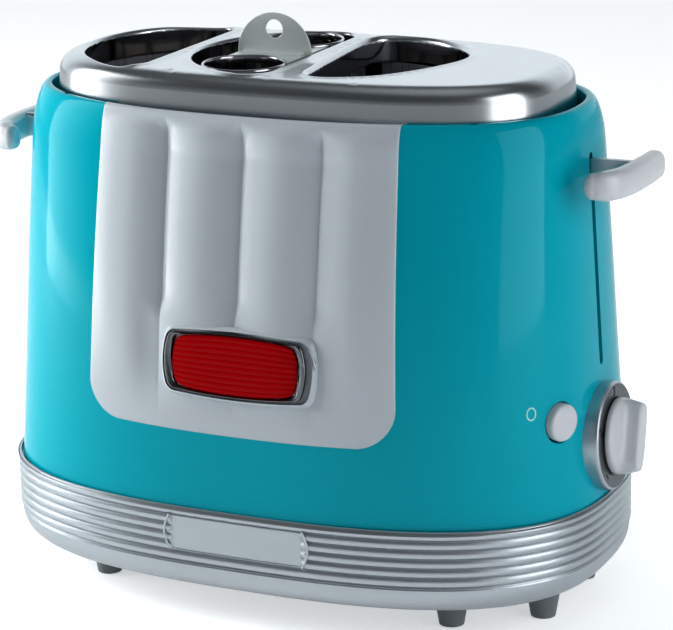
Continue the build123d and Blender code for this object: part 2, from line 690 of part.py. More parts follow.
# Bun racks: a stirrup hung from the ring on both sides, and a perforated shelf.
with BuildPart() as bun_rack_left:
    with Locations((RACK_LEFT_X, -54.8, RACK_Z - 2), (RACK_LEFT_X, 54.8, RACK_Z - 2)):
        Box(6.0, 1.5, CAR_Z0 - RACK_Z + 2, align=UP)
    with Locations((RACK_LEFT_X, 0, RACK_Z - 2)):
        Box(6.0, 109.6, 2.0, align=UP)
    with BuildSketch(Plane.XY.offset(RACK_Z)):
        with Locations((D_LEFT_X - 3.5, 0)):
            Ellipse(D_LEFT_A - 7.5, D_B - 5.0)
        with Locations((D_LEFT_X - 3.5, -60)):
            Rectangle(80, 120, align=(Align.MIN, Align.MIN), mode=Mode.SUBTRACT)
        fillet(vertices(), 6.0)
        with Locations((RACK_LEFT_X, -20), (RACK_LEFT_X, 0), (RACK_LEFT_X, 20)):
            SlotOverall(18.0, 5.0, mode=Mode.SUBTRACT)
    extrude(amount=1.2)
bun_rack_left.part.label = "bun_rack_left"
export_step(bun_rack_left.part, "parts/bun_rack_left.step")

with BuildPart() as bun_rack_right:
    with Locations((RACK_RIGHT_X, -61.2, RACK_Z - 2), (RACK_RIGHT_X, 61.2, RACK_Z - 2)):
        Box(6.0, 1.5, CAR_Z0 - RACK_Z + 2, align=UP)
    with Locations((RACK_RIGHT_X, 0, RACK_Z - 2)):
        Box(6.0, 122.4, 2.0, align=UP)
    with BuildSketch(Plane.XY.offset(RACK_Z)):
        with Locations((D_RIGHT_X + 4.0, 0)):
            Ellipse(D_RIGHT_A - 8.0, D_B - 5.0)
        with Locations((D_RIGHT_X + 4.0, -60)):
            Rectangle(80, 120, align=(Align.MAX, Align.MIN), mode=Mode.SUBTRACT)
        fillet(vertices(), 6.0)
        with Locations((RACK_RIGHT_X, -20), (RACK_RIGHT_X, 0), (RACK_RIGHT_X, 20)):
            SlotOverall(26.0, 5.0, mode=Mode.SUBTRACT)
    extrude(amount=1.2)
bun_rack_right.part.label = "bun_rack_right"
export_step(bun_rack_right.part, "parts/bun_rack_right.step")

with BuildPart() as sausage_platform:
    with Locations((BASKET_X, -61.8, RACK_Z - 2), (BASKET_X, 61.8, RACK_Z - 2)):
        Box(6.0, 1.5, CAR_Z0 - RACK_Z + 2, align=UP)
    with Locations((BASKET_X, 0, RACK_Z - 2)):
        Box(6.0, 123.6, 2.0, align=UP)
    with BuildSketch(Plane.XY.offset(RACK_Z)):
        with Locations((BASKET_X, 0)):
            RectangleRounded(33.0, 88.0, 14.0)
        with Locations((BASKET_X, -BASKET_Y), (BASKET_X, BASKET_Y)):
            SlotOverall(22.0, 5.0, mode=Mode.SUBTRACT)
    extrude(amount=1.4)
sausage_platform.part.label = "sausage_platform"
export_step(sausage_platform.part, "parts/sausage_platform.step")

# Flat arms that reach out through the slots.
with BuildPart() as lever_arms:
    with Locations((-ARM_X, 0, ARM_Z0), (ARM_X, 0, ARM_Z0)):
        Box(ARM_L, ARM_T, ARM_Z1 - ARM_Z0, align=UP)
lever_arms.part.label = "lever_arms"
export_step(lever_arms.part, "parts/lever_arms.step")

# Hooked paddles: the front end curls in towards the housing. A pocket takes the arm.
PADDLE_EDGE = []
PADDLE_BACK = []
for k, (x, y) in enumerate(PADDLE_PATH):
    x0, y0 = PADDLE_PATH[max(0, k - 1)]
    x1, y1 = PADDLE_PATH[min(len(PADDLE_PATH) - 1, k + 1)]
    g = sqrt((x1 - x0) ** 2 + (y1 - y0) ** 2)
    ux, uy = (x1 - x0) / g, (y1 - y0) / g
    if k == 0:
        PADDLE_EDGE.append((x - 0.72 * PADDLE_W * ux + 0.7 * PADDLE_W * uy, y - 0.72 * PADDLE_W * uy - 0.7 * PADDLE_W * ux))
        PADDLE_BACK.append((x - 0.72 * PADDLE_W * ux - 0.7 * PADDLE_W * uy, y - 0.72 * PADDLE_W * uy + 0.7 * PADDLE_W * ux))
    PADDLE_EDGE.append((x + PADDLE_W * uy, y - PADDLE_W * ux))
    PADDLE_BACK.append((x - PADDLE_W * uy, y + PADDLE_W * ux))
    if k == len(PADDLE_PATH) - 1:
        PADDLE_EDGE.append((x + 0.72 * PADDLE_W * ux + 0.7 * PADDLE_W * uy, y + 0.72 * PADDLE_W * uy - 0.7 * PADDLE_W * ux))
        PADDLE_BACK.append((x + 0.72 * PADDLE_W * ux - 0.7 * PADDLE_W * uy, y + 0.72 * PADDLE_W * uy + 0.7 * PADDLE_W * ux))
with BuildPart() as lever_right:
    with BuildSketch(Plane.XY.offset(PADDLE_Z - PADDLE_H / 2)):
        with BuildLine():
            Polyline(*PADDLE_EDGE, *PADDLE_BACK[::-1], close=True)
        make_face()
    extrude(amount=PADDLE_H)
    chamfer(faces().filter_by(Axis.Z).edges(), 1.6)
    with Locations((ARM_X, 0, ARM_Z0)):
        Box(ARM_L, ARM_T, ARM_Z1 - ARM_Z0, align=UP, mode=Mode.SUBTRACT)
lever_right.part.label = "lever_right"
export_step(lever_right.part, "parts/lever_right.step")

with BuildPart() as lever_left:
    add(lever_right.part)
    mirror(about=Plane.YZ, mode=Mode.REPLACE)
lever_left.part.label = "lever_left"
export_step(lever_left.part, "parts/lever_left.step")

# Compression springs on two of the rods push the carriage up.
SPRING_R, SPRING_WIRE = 3.3, 0.55
with BuildPart() as return_springs:
    for x, y in ((ROD_X, ROD_Y), (-ROD_X, -ROD_Y)):
        with BuildLine() as coil:
            Helix(pitch=10.1, height=121.2, radius=SPRING_R, center=(x, y, FLOOR_Z1 + 1.0))
        with BuildSketch(Plane(origin=coil.line @ 0, z_dir=coil.line % 0)):
            Circle(SPRING_WIRE)
        sweep(path=coil.line, is_frenet=True)
return_springs.part.label = "return_springs"
export_step(return_springs.part, "parts/return_springs.step")

# Latch: an iron armature under the ring meets the magnet when the carriage is down.
MAGNET_X, MAGNET_Y = 107.0, 31.0
with BuildPart() as latch_armature:
    with Locations((MAGNET_X, MAGNET_Y, CAR_Z0 - 4.0)):
        Box(10.0, 10.0, 4.0, align=UP)
latch_armature.part.label = "latch_armature"
export_step(latch_armature.part, "parts/latch_armature.step")

MAGNET_TOP = CAR_Z0 - 4.0 - TRAVEL - 0.5
with BuildPart() as electromagnet_core:
    with Locations((MAGNET_X, MAGNET_Y, FLOOR_Z1)):
        Box(6.0, 6.0, MAGNET_TOP - FLOOR_Z1, align=UP)
electromagnet_core.part.label = "electromagnet_core"
export_step(electromagnet_core.part, "parts/electromagnet_core.step")

with BuildPart() as electromagnet_coil:
    with Locations((MAGNET_X, MAGNET_Y, 60.0)):
        Cylinder(6.6, 30.0, align=UP)
        Box(6.0, 6.0, 30.0, align=UP, mode=Mode.SUBTRACT)
electromagnet_coil.part.label = "electromagnet_coil"
export_step(electromagnet_coil.part, "parts/electromagnet_coil.step")

# ---------------------------------------------------------------- controls
with BuildPart() as dial_ring:
    with BuildSketch(dial_plane(-5.0)):
        Circle(DIAL_R)
    extrude(amount=5.0 + DIAL_FACE)
    chamfer(faces().sort_by(Axis.X)[-1].edges(), 1.1)
    with BuildSketch(dial_plane(-6.0)):
        Circle(8.0)
    extrude(amount=20.0, mode=Mode.SUBTRACT)
    add(house_solid.part, mode=Mode.SUBTRACT)
dial_ring.part.label = "dial_ring"
export_step(dial_ring.part, "parts/dial_ring.step")

with BuildPart() as timer_knob:
    with BuildSketch(dial_plane(DIAL_FACE + 0.4)):
        Circle(KNOB_R)
    extrude(amount=2.6)
    with BuildSketch(dial_plane(DIAL_FACE + 3.0)):
        RectangleRounded(11.0, 31.0, 3.0, rotation=KNOB_TURN)
    with BuildSketch(dial_plane(KNOB_TIP)):
        RectangleRounded(8.6, 26.5, 3.0, rotation=KNOB_TURN)
    loft()
    with BuildSketch(dial_plane(DIAL_FACE - 1)):
        Circle(SHAFT_R)
    extrude(amount=7.0, mode=Mode.SUBTRACT)
timer_knob.part.label = "timer_knob"
export_step(timer_knob.part, "parts/timer_knob.step")

with BuildPart() as timer_shaft:
    with BuildSketch(dial_plane(-27.0)):
        Circle(SHAFT_R)
    extrude(amount=27.0 + DIAL_FACE + 6.0)
timer_shaft.part.label = "timer_shaft"
export_step(timer_shaft.part, "parts/timer_shaft.step")

with BuildPart() as timer_body:
    with BuildSketch(dial_plane(-30.0)):
        Circle(9.0)
    extrude(amount=14.0)
    with BuildSketch(dial_plane(-27.4)):
        Circle(SHAFT_R + 0.06)
    extrude(amount=14.0, mode=Mode.SUBTRACT)
timer_body.part.label = "timer_body"
export_step(timer_body.part, "parts/timer_body.step")

with BuildPart() as control_board:
    with BuildSketch(dial_plane(-31.6)):
        Rectangle(42.0, 32.0)
    extrude(amount=1.6)
control_board.part.label = "control_board"
export_step(control_board.part, "parts/control_board.step")

with BuildPart() as board_bracket:
    with BuildSketch(dial_plane(-33.1)):
        Rectangle(30.0, 46.0)
    extrude(amount=1.5)
    with Locations((90, 0, FLOOR_Z1)):
        Box(80, 60, 20, align=(Align.CENTER, Align.CENTER, Align.MAX), mode=Mode.SUBTRACT)
board_bracket.part.label = "board_bracket"
export_step(board_bracket.part, "parts/board_bracket.step")

# Stop button with a retaining flange behind the wall.
with BuildPart() as stop_button:
    with BuildSketch(button_plane(-12.0)):
        Circle(BUTTON_R)
    extrude(amount=12.0 + BUTTON_PROUD)
    fillet(edges().filter_by(GeomType.CIRCLE).sort_by(Axis.X)[-1], 1.2)
    with BuildSketch(button_plane(-6.6)):
        Circle(9.2)
    extrude(amount=1.6)
stop_button.part.label = "stop_button"
export_step(stop_button.part, "parts/stop_button.step")

with BuildPart() as microswitch:
    with BuildSketch(button_plane(-20.0)):
        Rectangle(10.0, 8.0)
    extrude(amount=5.0)
microswitch.part.label = "microswitch"
export_step(microswitch.part, "parts/microswitch.step")

with BuildPart() as switch_bracket:
    with BuildSketch(button_plane(-21.5)):
        with Locations((0, (FLOOR_Z1 - BUTTON_Z) / 2 + 4.0)):
            Rectangle(12.0, BUTTON_Z - FLOOR_Z1 + 8.0)
    extrude(amount=1.5)
switch_bracket.part.label = "switch_bracket"
export_step(switch_bracket.part, "parts/switch_bracket.step")

# ---------------------------------------------------------------- sausage basket
with BuildPart() as basket_rings:
    with BuildSketch(Plane.XY.offset(BASKET_Z1 - 3.2)):
        with Locations((BASKET_X, -BASKET_Y), (BASKET_X, BASKET_Y)):
            Circle(RING_R)
            Circle(RING_R - RING_T, mode=Mode.SUBTRACT)
    extrude(amount=3.2)
basket_rings.part.label = "basket_rings"
export_step(basket_rings.part, "parts/basket_rings.step")

WIRE_R = 0.65
with BuildPart() as basket_wires:
    for y in (-BASKET_Y, BASKET_Y):
        for k in range(8):
            t = radians(22.5 + 45 * k)
            with Locations((
                BASKET_X + (RING_R - RING_T / 2) * cos(t),
                y + (RING_R - RING_T / 2) * sin(t),
                BASKET_Z0 + 1.2,
            )):
                Cylinder(WIRE_R, BASKET_Z1 - 3.2 - BASKET_Z0 - 1.2, align=UP)
basket_wires.part.label = "basket_wires"
export_step(basket_wires.part, "parts/basket_wires.step")

with BuildPart() as basket_floors:
    with BuildSketch(Plane.XY.offset(BASKET_Z0)):
        with Locations((BASKET_X, -BASKET_Y), (BASKET_X, BASKET_Y)):
            Circle(RING_R)
            SlotOverall(20.0, 4.0, mode=Mode.SUBTRACT)
    extrude(amount=1.2)
basket_floors.part.label = "basket_floors"
export_step(basket_floors.part, "parts/basket_floors.step")

# Bridge between the rings and the tab that lifts the basket.
with BuildPart() as basket_handle:
    with BuildSketch(Plane.XY.offset(TAB_Z - 1.2)):
        with Locations((BASKET_X, 0)):
            Rectangle(32.0, 2 * BASKET_Y - 6.0)
        with Locations((BASKET_X, -BASKET_Y), (BASKET_X, BASKET_Y)):
            Circle(RING_R, mode=Mode.SUBTRACT)
    extrude(amount=1.2)
    with BuildSketch(Plane.XZ.offset(-TAB_T / 2)):
        with Locations((BASKET_X + 0.7, TAB_Z)):
            Circle(TAB_R)
        with Locations((BASKET_X + 0.7, TAB_Z)):
            Rectangle(60, 40, align=(Align.CENTER, Align.MAX), mode=Mode.SUBTRACT)
        with Locations((BASKET_X + 0.7, TAB_Z + 10.2)):
            Circle(TAB_HOLE_R, mode=Mode.SUBTRACT)
    extrude(amount=TAB_T)
basket_handle.part.label = "basket_handle"
export_step(basket_handle.part, "parts/basket_handle.step")

# ---------------------------------------------------------------- mains entry
GLAND_Y = -house_front(-70.0, 68.0)
with BuildPart() as cord_gland:
    with BuildSketch(Plane.XZ.offset(-(GLAND_Y - 9.0))):
        with Locations((-70.0, 68.0)):
            Circle(6.5)
    extrude(amount=-12.5)
    with BuildSketch(Plane.XZ.offset(-(GLAND_Y - 1.0))):
        with Locations((-70.0, 68.0)):
            Circle(8.6)
    extrude(amount=-4.5)
    add(house_solid.part, mode=Mode.SUBTRACT)
    with BuildSketch(Plane.XZ.offset(-(GLAND_Y - 9.0))):
        with Locations((-70.0, 68.0)):
            Circle(6.5)
    extrude(amount=-12.5)
    with BuildSketch(Plane.XZ.offset(-(GLAND_Y - 20.0))):
        with Locations((-70.0, 68.0)):
            Circle(3.5)
    extrude(amount=-40.0, mode=Mode.SUBTRACT)
cord_gland.part.label = "cord_gland"
export_step(cord_gland.part, "parts/cord_gland.step")

with BuildPart() as terminal_block:
    with Locations((-104.0, 36.0, FLOOR_Z1)):
        Box(12.0, 12.0, 12.0, align=UP)
    with Locations((-104.0, 33.0, FLOOR_Z1 + 12.0), (-104.0, 39.0, FLOOR_Z1 + 12.0)):
        Cylinder(1.8, 2.0, align=UP)
terminal_block.part.label = "terminal_block"
export_step(terminal_block.part, "parts/terminal_block.step")
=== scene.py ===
import math
import bmesh
import bpy
import numpy as np
from mathutils import Matrix, Vector
from mathutils.geometry import delaunay_2d_cdt


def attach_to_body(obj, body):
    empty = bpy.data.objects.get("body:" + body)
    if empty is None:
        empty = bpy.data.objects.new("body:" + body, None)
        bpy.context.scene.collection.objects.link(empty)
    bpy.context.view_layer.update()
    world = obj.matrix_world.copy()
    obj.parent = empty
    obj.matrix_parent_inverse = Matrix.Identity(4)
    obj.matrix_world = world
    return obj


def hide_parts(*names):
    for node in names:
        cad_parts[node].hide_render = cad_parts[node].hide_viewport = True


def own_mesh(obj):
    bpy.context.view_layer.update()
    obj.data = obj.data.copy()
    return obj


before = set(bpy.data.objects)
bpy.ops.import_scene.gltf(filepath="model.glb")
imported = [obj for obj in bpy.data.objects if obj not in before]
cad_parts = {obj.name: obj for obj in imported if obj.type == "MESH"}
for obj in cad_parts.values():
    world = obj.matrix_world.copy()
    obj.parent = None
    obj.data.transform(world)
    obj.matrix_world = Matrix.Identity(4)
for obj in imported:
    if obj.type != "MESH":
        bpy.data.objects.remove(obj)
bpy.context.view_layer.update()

MM = 0.001
scene = bpy.context.scene
pi = math.pi


# ------------------------------------------------------------------ shape formulas, mm
def house(z):
    s = (z - 52.6) / 146.4
    q = (max(0.0, 120.0 - z) / 67.0) ** 2
    return 131.2 - 0.060 * (z - 52.6) + 1.2 * q, 85.0 - 17.0 * s + 12.0 * s * (1 - s) + 0.3 * q, 2.62 + 0.2 * s


def shoulder(deg):
    a, b, n = house(194.0)
    c, s = math.cos(math.radians(deg)), math.sin(math.radians(deg))
    return 194.0 + 17.0 * s, 118.3 + (a - 118.3) * c, 66.3 + (b - 66.3) * c, n + (2.45 - n) * s


def wall(z):
    """Section of the housing's outside at any height."""
    if z <= 194.0:
        return house(z)
    deg = math.degrees(math.asin(min(1.0, (z - 194.0) / 17.0)))
    return shoulder(deg)[1:]


def side_y(a, b, n, x):
    return b * max(0.0, 1 - abs(x / a) ** n) ** (1 / n)


def side_x(a, b, n, y):
    return a * max(0.0, 1 - abs(y / b) ** n) ** (1 / n)


def smooth(t, lo, hi):
    t = min(1.0, max(0.0, (t - lo) / (hi - lo)))
    return t * t * (3 - 2 * t)


def outward(x, y, z, section=wall):
    """Unit normal of an oval wall at a point on it."""
    def f(px, py, pz):
        a, b, n = section(pz)
        return abs(px / a) ** n + abs(py / b) ** n
    h = 0.02
    g = Vector((
        f(x + h, y, z) - f(x - h, y, z),
        f(x, y + h, z) - f(x, y - h, z),
        f(x, y, min(z + h, 210.98)) - f(x, y, z - h),
    ))
    return g.normalized() if g.length > 0 else Vector((0, 0, 1))


# ------------------------------------------------------------------ mesh helpers
def new_piece(name, verts, faces, mats, body, replaces=(), normals=None, sharp=None, mat_ids=None):
    """A mesh piece from points in mm; normals may hold one vector or None per point."""
    me = bpy.data.meshes.new(name)
    me.from_pydata([tuple(c * MM for c in v) for v in verts], [], faces)
    me.validate()
    me.polygons.foreach_set("use_smooth", [True] * len(me.polygons))
    for m in mats if isinstance(mats, (list, tuple)) else [mats]:
        me.materials.append(m)
    if mat_ids:
        me.polygons.foreach_set("material_index", mat_ids)
    if sharp is not None:
        me.set_sharp_from_angle(angle=math.radians(sharp))
    if normals is not None:
        base = [Vector(n.vector) for n in me.corner_normals]
        for i, loop in enumerate(me.loops):
            n = normals[loop.vertex_index]
            if n is not None:
                base[i] = Vector(n)
        me.normals_split_custom_set(base)
    me.update()
    ob = bpy.data.objects.new(name, me)
    scene.collection.objects.link(ob)
    attach(ob, body, replaces)
    return ob


def attach(ob, body, replaces=()):
    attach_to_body(ob, body)
    if replaces:
        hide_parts(*replaces)


def flip_out(ob):
    bm = bmesh.new()
    bm.from_mesh(ob.data)
    bmesh.ops.recalc_face_normals(bm, faces=bm.faces)
    bm.to_mesh(ob.data)
    bm.free()


def grid_faces(rows, cols, closed=True, start=0, flip=False):
    out = []
    for i in range(rows - 1):
        for j in range(cols if closed else cols - 1):
            k = (j + 1) % cols
            q = (start + i * cols + j, start + i * cols + k, start + (i + 1) * cols + k, start + (i + 1) * cols + j)
            out.append(q[::-1] if flip else q)
    return out


def loop_columns(x_list, y_list):
    """Columns round an oval: fixed X on the long sides, fixed Y at the ends, from the right end round by the rear."""
    cols = [("y", y, 1) for y in y_list if y >= 0]
    cols += [("x", x, 1) for x in sorted(x_list, reverse=True)]
    cols += [("y", y, -1) for y in sorted(y_list, reverse=True)]
    cols += [("x", x, -1) for x in sorted(x_list)]
    cols += [("y", y, 1) for y in y_list if y < 0]
    return cols


def column_points(cols, a, b, n, ref, x_keep=62.0, y_keep=18.0):
    pts = []
    for kind, v, sign in cols:
        if kind == "x":
            m = abs(v)
            m = m if m <= x_keep else x_keep + (m - x_keep) * (a - x_keep) / (ref[0] - x_keep)
            x = math.copysign(m, v)
            pts.append((x, sign * side_y(a, b, n, x)))
        else:
            m = abs(v)
            m = m if m <= y_keep else y_keep + (m - y_keep) * (b - y_keep) / (ref[1] - y_keep)
            y = math.copysign(m, v)
            pts.append((sign * side_x(a, b, n, y), y))
    return pts


def lathe(profile, count=96, close=False):
    """Points (r, s) turned about the local Z axis."""
    verts, faces = [], []
    for r, s in profile:
        for j in range(count):
            t = 2 * pi * j / count
            verts.append((r * math.cos(t), r * math.sin(t), s))
    rows = len(profile)
    faces = grid_faces(rows, count)
    if close:
        faces += [((rows - 1) * count + j, (rows - 1) * count + (j + 1) % count, (j + 1) % count, j) for j in range(count)]
    else:
        faces.append(tuple(range(count))[::-1])
        faces.append(tuple((rows - 1) * count + j for j in range(count)))
    return verts, faces


def placed(verts, origin, xdir, zdir):
    z = Vector(zdir).normalized()
    x = Vector(xdir).normalized()
    y = z.cross(x)
    o = Vector(origin)
    return [tuple(o + x * v[0] + y * v[1] + z * v[2]) for v in verts]


def bevelled(ob, width, segments=3, angle=35):
    """Applies a small edge rounding for good."""
    bm = bmesh.new()
    bm.from_mesh(ob.data)
    bm.normal_update()
    edges = [e for e in bm.edges if len(e.link_faces) == 2 and e.calc_face_angle(0) > math.radians(angle)]
    bmesh.ops.bevel(bm, geom=edges, offset=width * MM, segments=segments, profile=0.5, affect="EDGES", clamp_overlap=True)
    bm.to_mesh(ob.data)
    bm.free()
    ob.data.polygons.foreach_set("use_smooth", [True] * len(ob.data.polygons))
    ob.data.set_sharp_from_angle(angle=math.radians(angle))


# ------------------------------------------------------------------ materials
def material(name, color, rough=0.4, metal=0.0, coat=0.0, coat_rough=0.05, ior=1.5, spec=0.5, sub=0.0):
    m = bpy.data.materials.new(name)
    m.use_nodes = True
    b = m.node_tree.nodes["Principled BSDF"]
    b.inputs["Base Color"].default_value = (*color, 1)
    b.inputs["Roughness"].default_value = rough
    b.inputs["Metallic"].default_value = metal
    b.inputs["IOR"].default_value = ior
    b.inputs["Specular IOR Level"].default_value = spec
    b.inputs["Coat Weight"].default_value = coat
    b.inputs["Coat Roughness"].default_value = coat_rough
    if sub:
        b.inputs["Subsurface Weight"].default_value = sub
        b.inputs["Subsurface Radius"].default_value = (0.004, 0.004, 0.004)
        b.inputs["Subsurface Scale"].default_value = 1.0
    return m, m.node_tree, b


def coords(nt, scale):
    tc = nt.nodes.new("ShaderNodeTexCoord")
    mp = nt.nodes.new("ShaderNodeMapping")
    mp.inputs["Scale"].default_value = scale
    nt.links.new(tc.outputs["Object"], mp.inputs["Vector"])
    return mp.outputs["Vector"]


def noise(nt, vec, scale, detail=3.0, rough=0.5):
    n = nt.nodes.new("ShaderNodeTexNoise")
    n.inputs["Scale"].default_value = scale
    n.inputs["Detail"].default_value = detail
    n.inputs["Roughness"].default_value = rough
    nt.links.new(vec, n.inputs["Vector"])
    return n.outputs["Fac"]


def spread(nt, fac, lo, hi, a=0.3, b=0.7):
    r = nt.nodes.new("ShaderNodeMapRange")
    r.inputs["From Min"].default_value = a
    r.inputs["From Max"].default_value = b
    r.inputs["To Min"].default_value = lo
    r.inputs["To Max"].default_value = hi
    nt.links.new(fac, r.inputs["Value"])
    return r.outputs["Result"]


def tint(nt, fac, c0, c1, a=0.3, b=0.7):
    r = nt.nodes.new("ShaderNodeValToRGB")
    r.color_ramp.elements[0].position = a
    r.color_ramp.elements[1].position = b
    r.color_ramp.elements[0].color = (*c0, 1)
    r.color_ramp.elements[1].color = (*c1, 1)
    nt.links.new(fac, r.inputs["Fac"])
    return r.outputs["Color"]


def bump(nt, bsdf, height, strength, dist):
    n = nt.nodes.new("ShaderNodeBump")
    n.inputs["Strength"].default_value = strength
    n.inputs["Distance"].default_value = dist
    nt.links.new(height, n.inputs["Height"])
    nt.links.new(n.outputs["Normal"], bsdf.inputs["Normal"])


def scaled(color, k):
    return tuple(min(1.0, c * k) for c in color)


def gloss(name, color, rough=0.12, vary=0.04, peel=0.02, sub=0.0, coat=0.3, spec=0.5):
    """Moulded or lacquered gloss plastic: faint orange peel, slight unevenness in colour and shine."""
    m, nt, b = material(name, color, rough, coat=coat, coat_rough=0.04, sub=sub, spec=spec)
    v = coords(nt, (1, 1, 1))
    big = noise(nt, v, 9.0, 2.0)
    fine = noise(nt, v, 420.0, 2.0)
    nt.links.new(tint(nt, big, scaled(color, 1 - vary), scaled(color, 1 + vary)), b.inputs["Base Color"])
    nt.links.new(spread(nt, noise(nt, v, 60.0, 4.0), rough * 0.8, rough * 1.25), b.inputs["Roughness"])
    bump(nt, b, fine, peel, 0.0004)
    return m


def metal(name, color, rough, grain=(1, 1, 1), fine=900.0, strength=0.05, vary=0.06, rough_vary=0.25, bare=1.0):
    """Drawn or brushed metal: streaks along the axis with the small grain scale."""
    m, nt, b = material(name, color, rough, metal=bare)
    v = coords(nt, grain)
    streak = noise(nt, v, fine, 3.0, 0.6)
    cloud = noise(nt, coords(nt, (1, 1, 1)), 22.0, 4.0)
    nt.links.new(tint(nt, cloud, scaled(color, 1 - vary), scaled(color, 1 + vary)), b.inputs["Base Color"])
    nt.links.new(spread(nt, streak, rough * (1 - rough_vary), rough * (1 + rough_vary)), b.inputs["Roughness"])
    bump(nt, b, streak, strength, 0.0002)
    return m


def matt(name, color, rough=0.55, scale=700.0, strength=0.15, vary=0.08, spec=0.4):
    """Moulded plastic, rubber or board with a fine spark-eroded grain."""
    m, nt, b = material(name, color, rough, spec=spec)
    v = coords(nt, (1, 1, 1))
    nt.links.new(tint(nt, noise(nt, v, 30.0, 4.0), scaled(color, 1 - vary), scaled(color, 1 + vary)), b.inputs["Base Color"])
    fine = noise(nt, v, scale, 2.0)
    nt.links.new(spread(nt, fine, rough * 0.85, min(1.0, rough * 1.15)), b.inputs["Roughness"])
    bump(nt, b, fine, strength, 0.0003)
    return m


TURQ = (0.0, 0.41, 0.51)
M_body = gloss("turquoise_gloss", TURQ, rough=0.09, vary=0.025, peel=0.010, coat=0.0, spec=0.22)
M_white = gloss("panel_white_gloss", (0.56, 0.605, 0.65), rough=0.16, vary=0.012, peel=0.010, coat=0.0)
M_knob = gloss("control_white_gloss", (0.60, 0.625, 0.655), rough=0.17, vary=0.015, peel=0.01, sub=0.12, coat=0.0)
M_red = gloss("badge_red_gloss", (0.43, 0.0015, 0.006), rough=0.20, vary=0.05, peel=0.02, coat=0.0, spec=0.16)
M_silver = metal("silver_lacquer", (0.56, 0.60, 0.635), 0.36, fine=1600.0, strength=0.03, vary=0.03, rough_vary=0.12, bare=0.82)
M_cover = metal("steel_satin", (0.65, 0.68, 0.705), 0.25, grain=(1, 1, 0.05), fine=900.0, strength=0.002, vary=0.02, rough_vary=0.05)
M_polish = metal("steel_polished", (0.58, 0.58, 0.59), 0.10, fine=260.0, strength=0.01, vary=0.04)
M_well = metal("well_steel_drawn", (0.60, 0.61, 0.68), 0.32, grain=(1, 1, 0.04), fine=520.0, strength=0.04, bare=0.5)
M_tab = metal("basket_steel_matt", (0.80, 0.85, 0.84), 0.46, fine=1200.0, strength=0.04, bare=0.6)
M_ring = metal("basket_wire_bright", (0.52, 0.52, 0.55), 0.16, fine=600.0, strength=0.02)
M_chrome = metal("badge_chrome_bright", (0.24, 0.245, 0.26), 0.20, fine=500.0, strength=0.01)
M_plain = metal("chassis_zinc", (0.50, 0.51, 0.53), 0.36, fine=60.0, strength=0.05, vary=0.12)
M_screw = metal("screw_steel_turned", (0.55, 0.55, 0.56), 0.28, fine=800.0)
M_feet = matt("feet_grey_satin", (0.22, 0.24, 0.255), 0.42, strength=0.08)
M_base = matt("base_grey_satin", (0.32, 0.33, 0.34), 0.5)
M_rubber = matt("pad_rubber", (0.035, 0.035, 0.036), 0.75, scale=900.0, strength=0.3)
M_black = matt("black_moulding", (0.02, 0.02, 0.022), 0.5)
M_bush = matt("bush_natural", (0.62, 0.61, 0.56), 0.4)
M_board = matt("board_green", (0.02, 0.16, 0.07), 0.35, scale=300.0)
M_copper = metal("coil_copper", (0.62, 0.27, 0.11), 0.32, grain=(1, 1, 14), fine=300.0, strength=0.5)
M_ribbon = metal("heater_ribbon", (0.30, 0.27, 0.25), 0.45, fine=300.0, vary=0.2)
M_mica = matt("mica_board", (0.20, 0.19, 0.18), 0.4, scale=120.0, strength=0.2, vary=0.22)
M_dial = metal("dial_grey_lacquer", (0.23, 0.245, 0.265), 0.40, fine=1500.0, strength=0.03, vary=0.03)
M_ink = matt("dial_ink", (0.008, 0.009, 0.014), 0.5)
M_mark = matt("mark_pale", (0.55, 0.86, 0.80), 0.4, strength=0.02, vary=0.02)

# ------------------------------------------------------------------ housing
xs = sorted({s * v for v in (0, 4, 8, 12, 16, 20, 24, 28, 31, 34, 38, 42, 46, 50, 54, 58, 60.5, 64, 68, 72, 76, 80, 84, 88, 92, 96, 99, 102) for s in (-1, 1)})
ys = sorted({s * v for v in (0, 1.85, 4, 7, 10, 13.5, 17.5, 21.5, 25.5, 29, 32.5, 36, 39, 42, 45, 48, 51, 54, 57, 59.5, 62) for s in (-1, 1)})
COLS = loop_columns(xs, ys)
REF = (134.2, 87.0)
NC = len(COLS)

rows = []  # (z, a, b, n)
a0, b0, n0 = house(49.0)
rows.append((49.2, a0 - 2.5, b0 - 2.5, n0))
rows.append((48.9, a0 - 0.7, b0 - 0.7, n0))
rows.append((49.05, a0 - 0.2, b0 - 0.2, n0))
rows.append((49.4, *house(49.4)))
for k in range(1, 37):
    z = 49.4 + (194.0 - 49.4) * k / 36
    rows.append((z, *house(z)))
for d in (8, 16, 24, 32, 40, 48, 55, 62, 68, 74, 79):
    rows.append(shoulder(d))
OUT_ROWS = len(rows)
rows.append((210.86, 118.55, 66.55, 2.452))
rows.append((211.0, 118.15, 66.2, 2.44))
rows.append((211.0, 117.2, 65.45, 2.40))
rows.append((210.8, 116.75, 65.1, 2.38))
rows.append((210.3, 116.5, 64.92, 2.365))
rows.append((209.0, 116.45, 64.9, 2.36))
rows.append((201.4, 116.2, 64.7, 2.36))
rows.append((201.0, 115.8, 64.3, 2.36))
rows.append((201.0, 107.0, 55.0, 2.9))
rows.append((198.5, 107.0, 55.0, 2.9))
for z in (198.5, 180.0, 150.0, 120.0, 90.0, 60.0):
    a, b, n = house(z)
    rows.append((z, a - 2.5, b - 2.5, n))
verts = []
for z, a, b, n in rows:
    verts += [(x, y, z) for x, y in column_points(COLS, a, b, n, REF)]
faces = grid_faces(len(rows), NC)
last = (len(rows) - 1) * NC
faces += [(last + j, last + (j + 1) % NC, (j + 1) % NC, j) for j in range(NC)]


def cutter(name, verts, faces):
    me = bpy.data.meshes.new(name)
    me.from_pydata([tuple(c * MM for c in v) for v in verts], [], faces)
    ob = bpy.data.objects.new(name, me)
    scene.collection.objects.link(ob)
    flip_out(ob)
    return ob


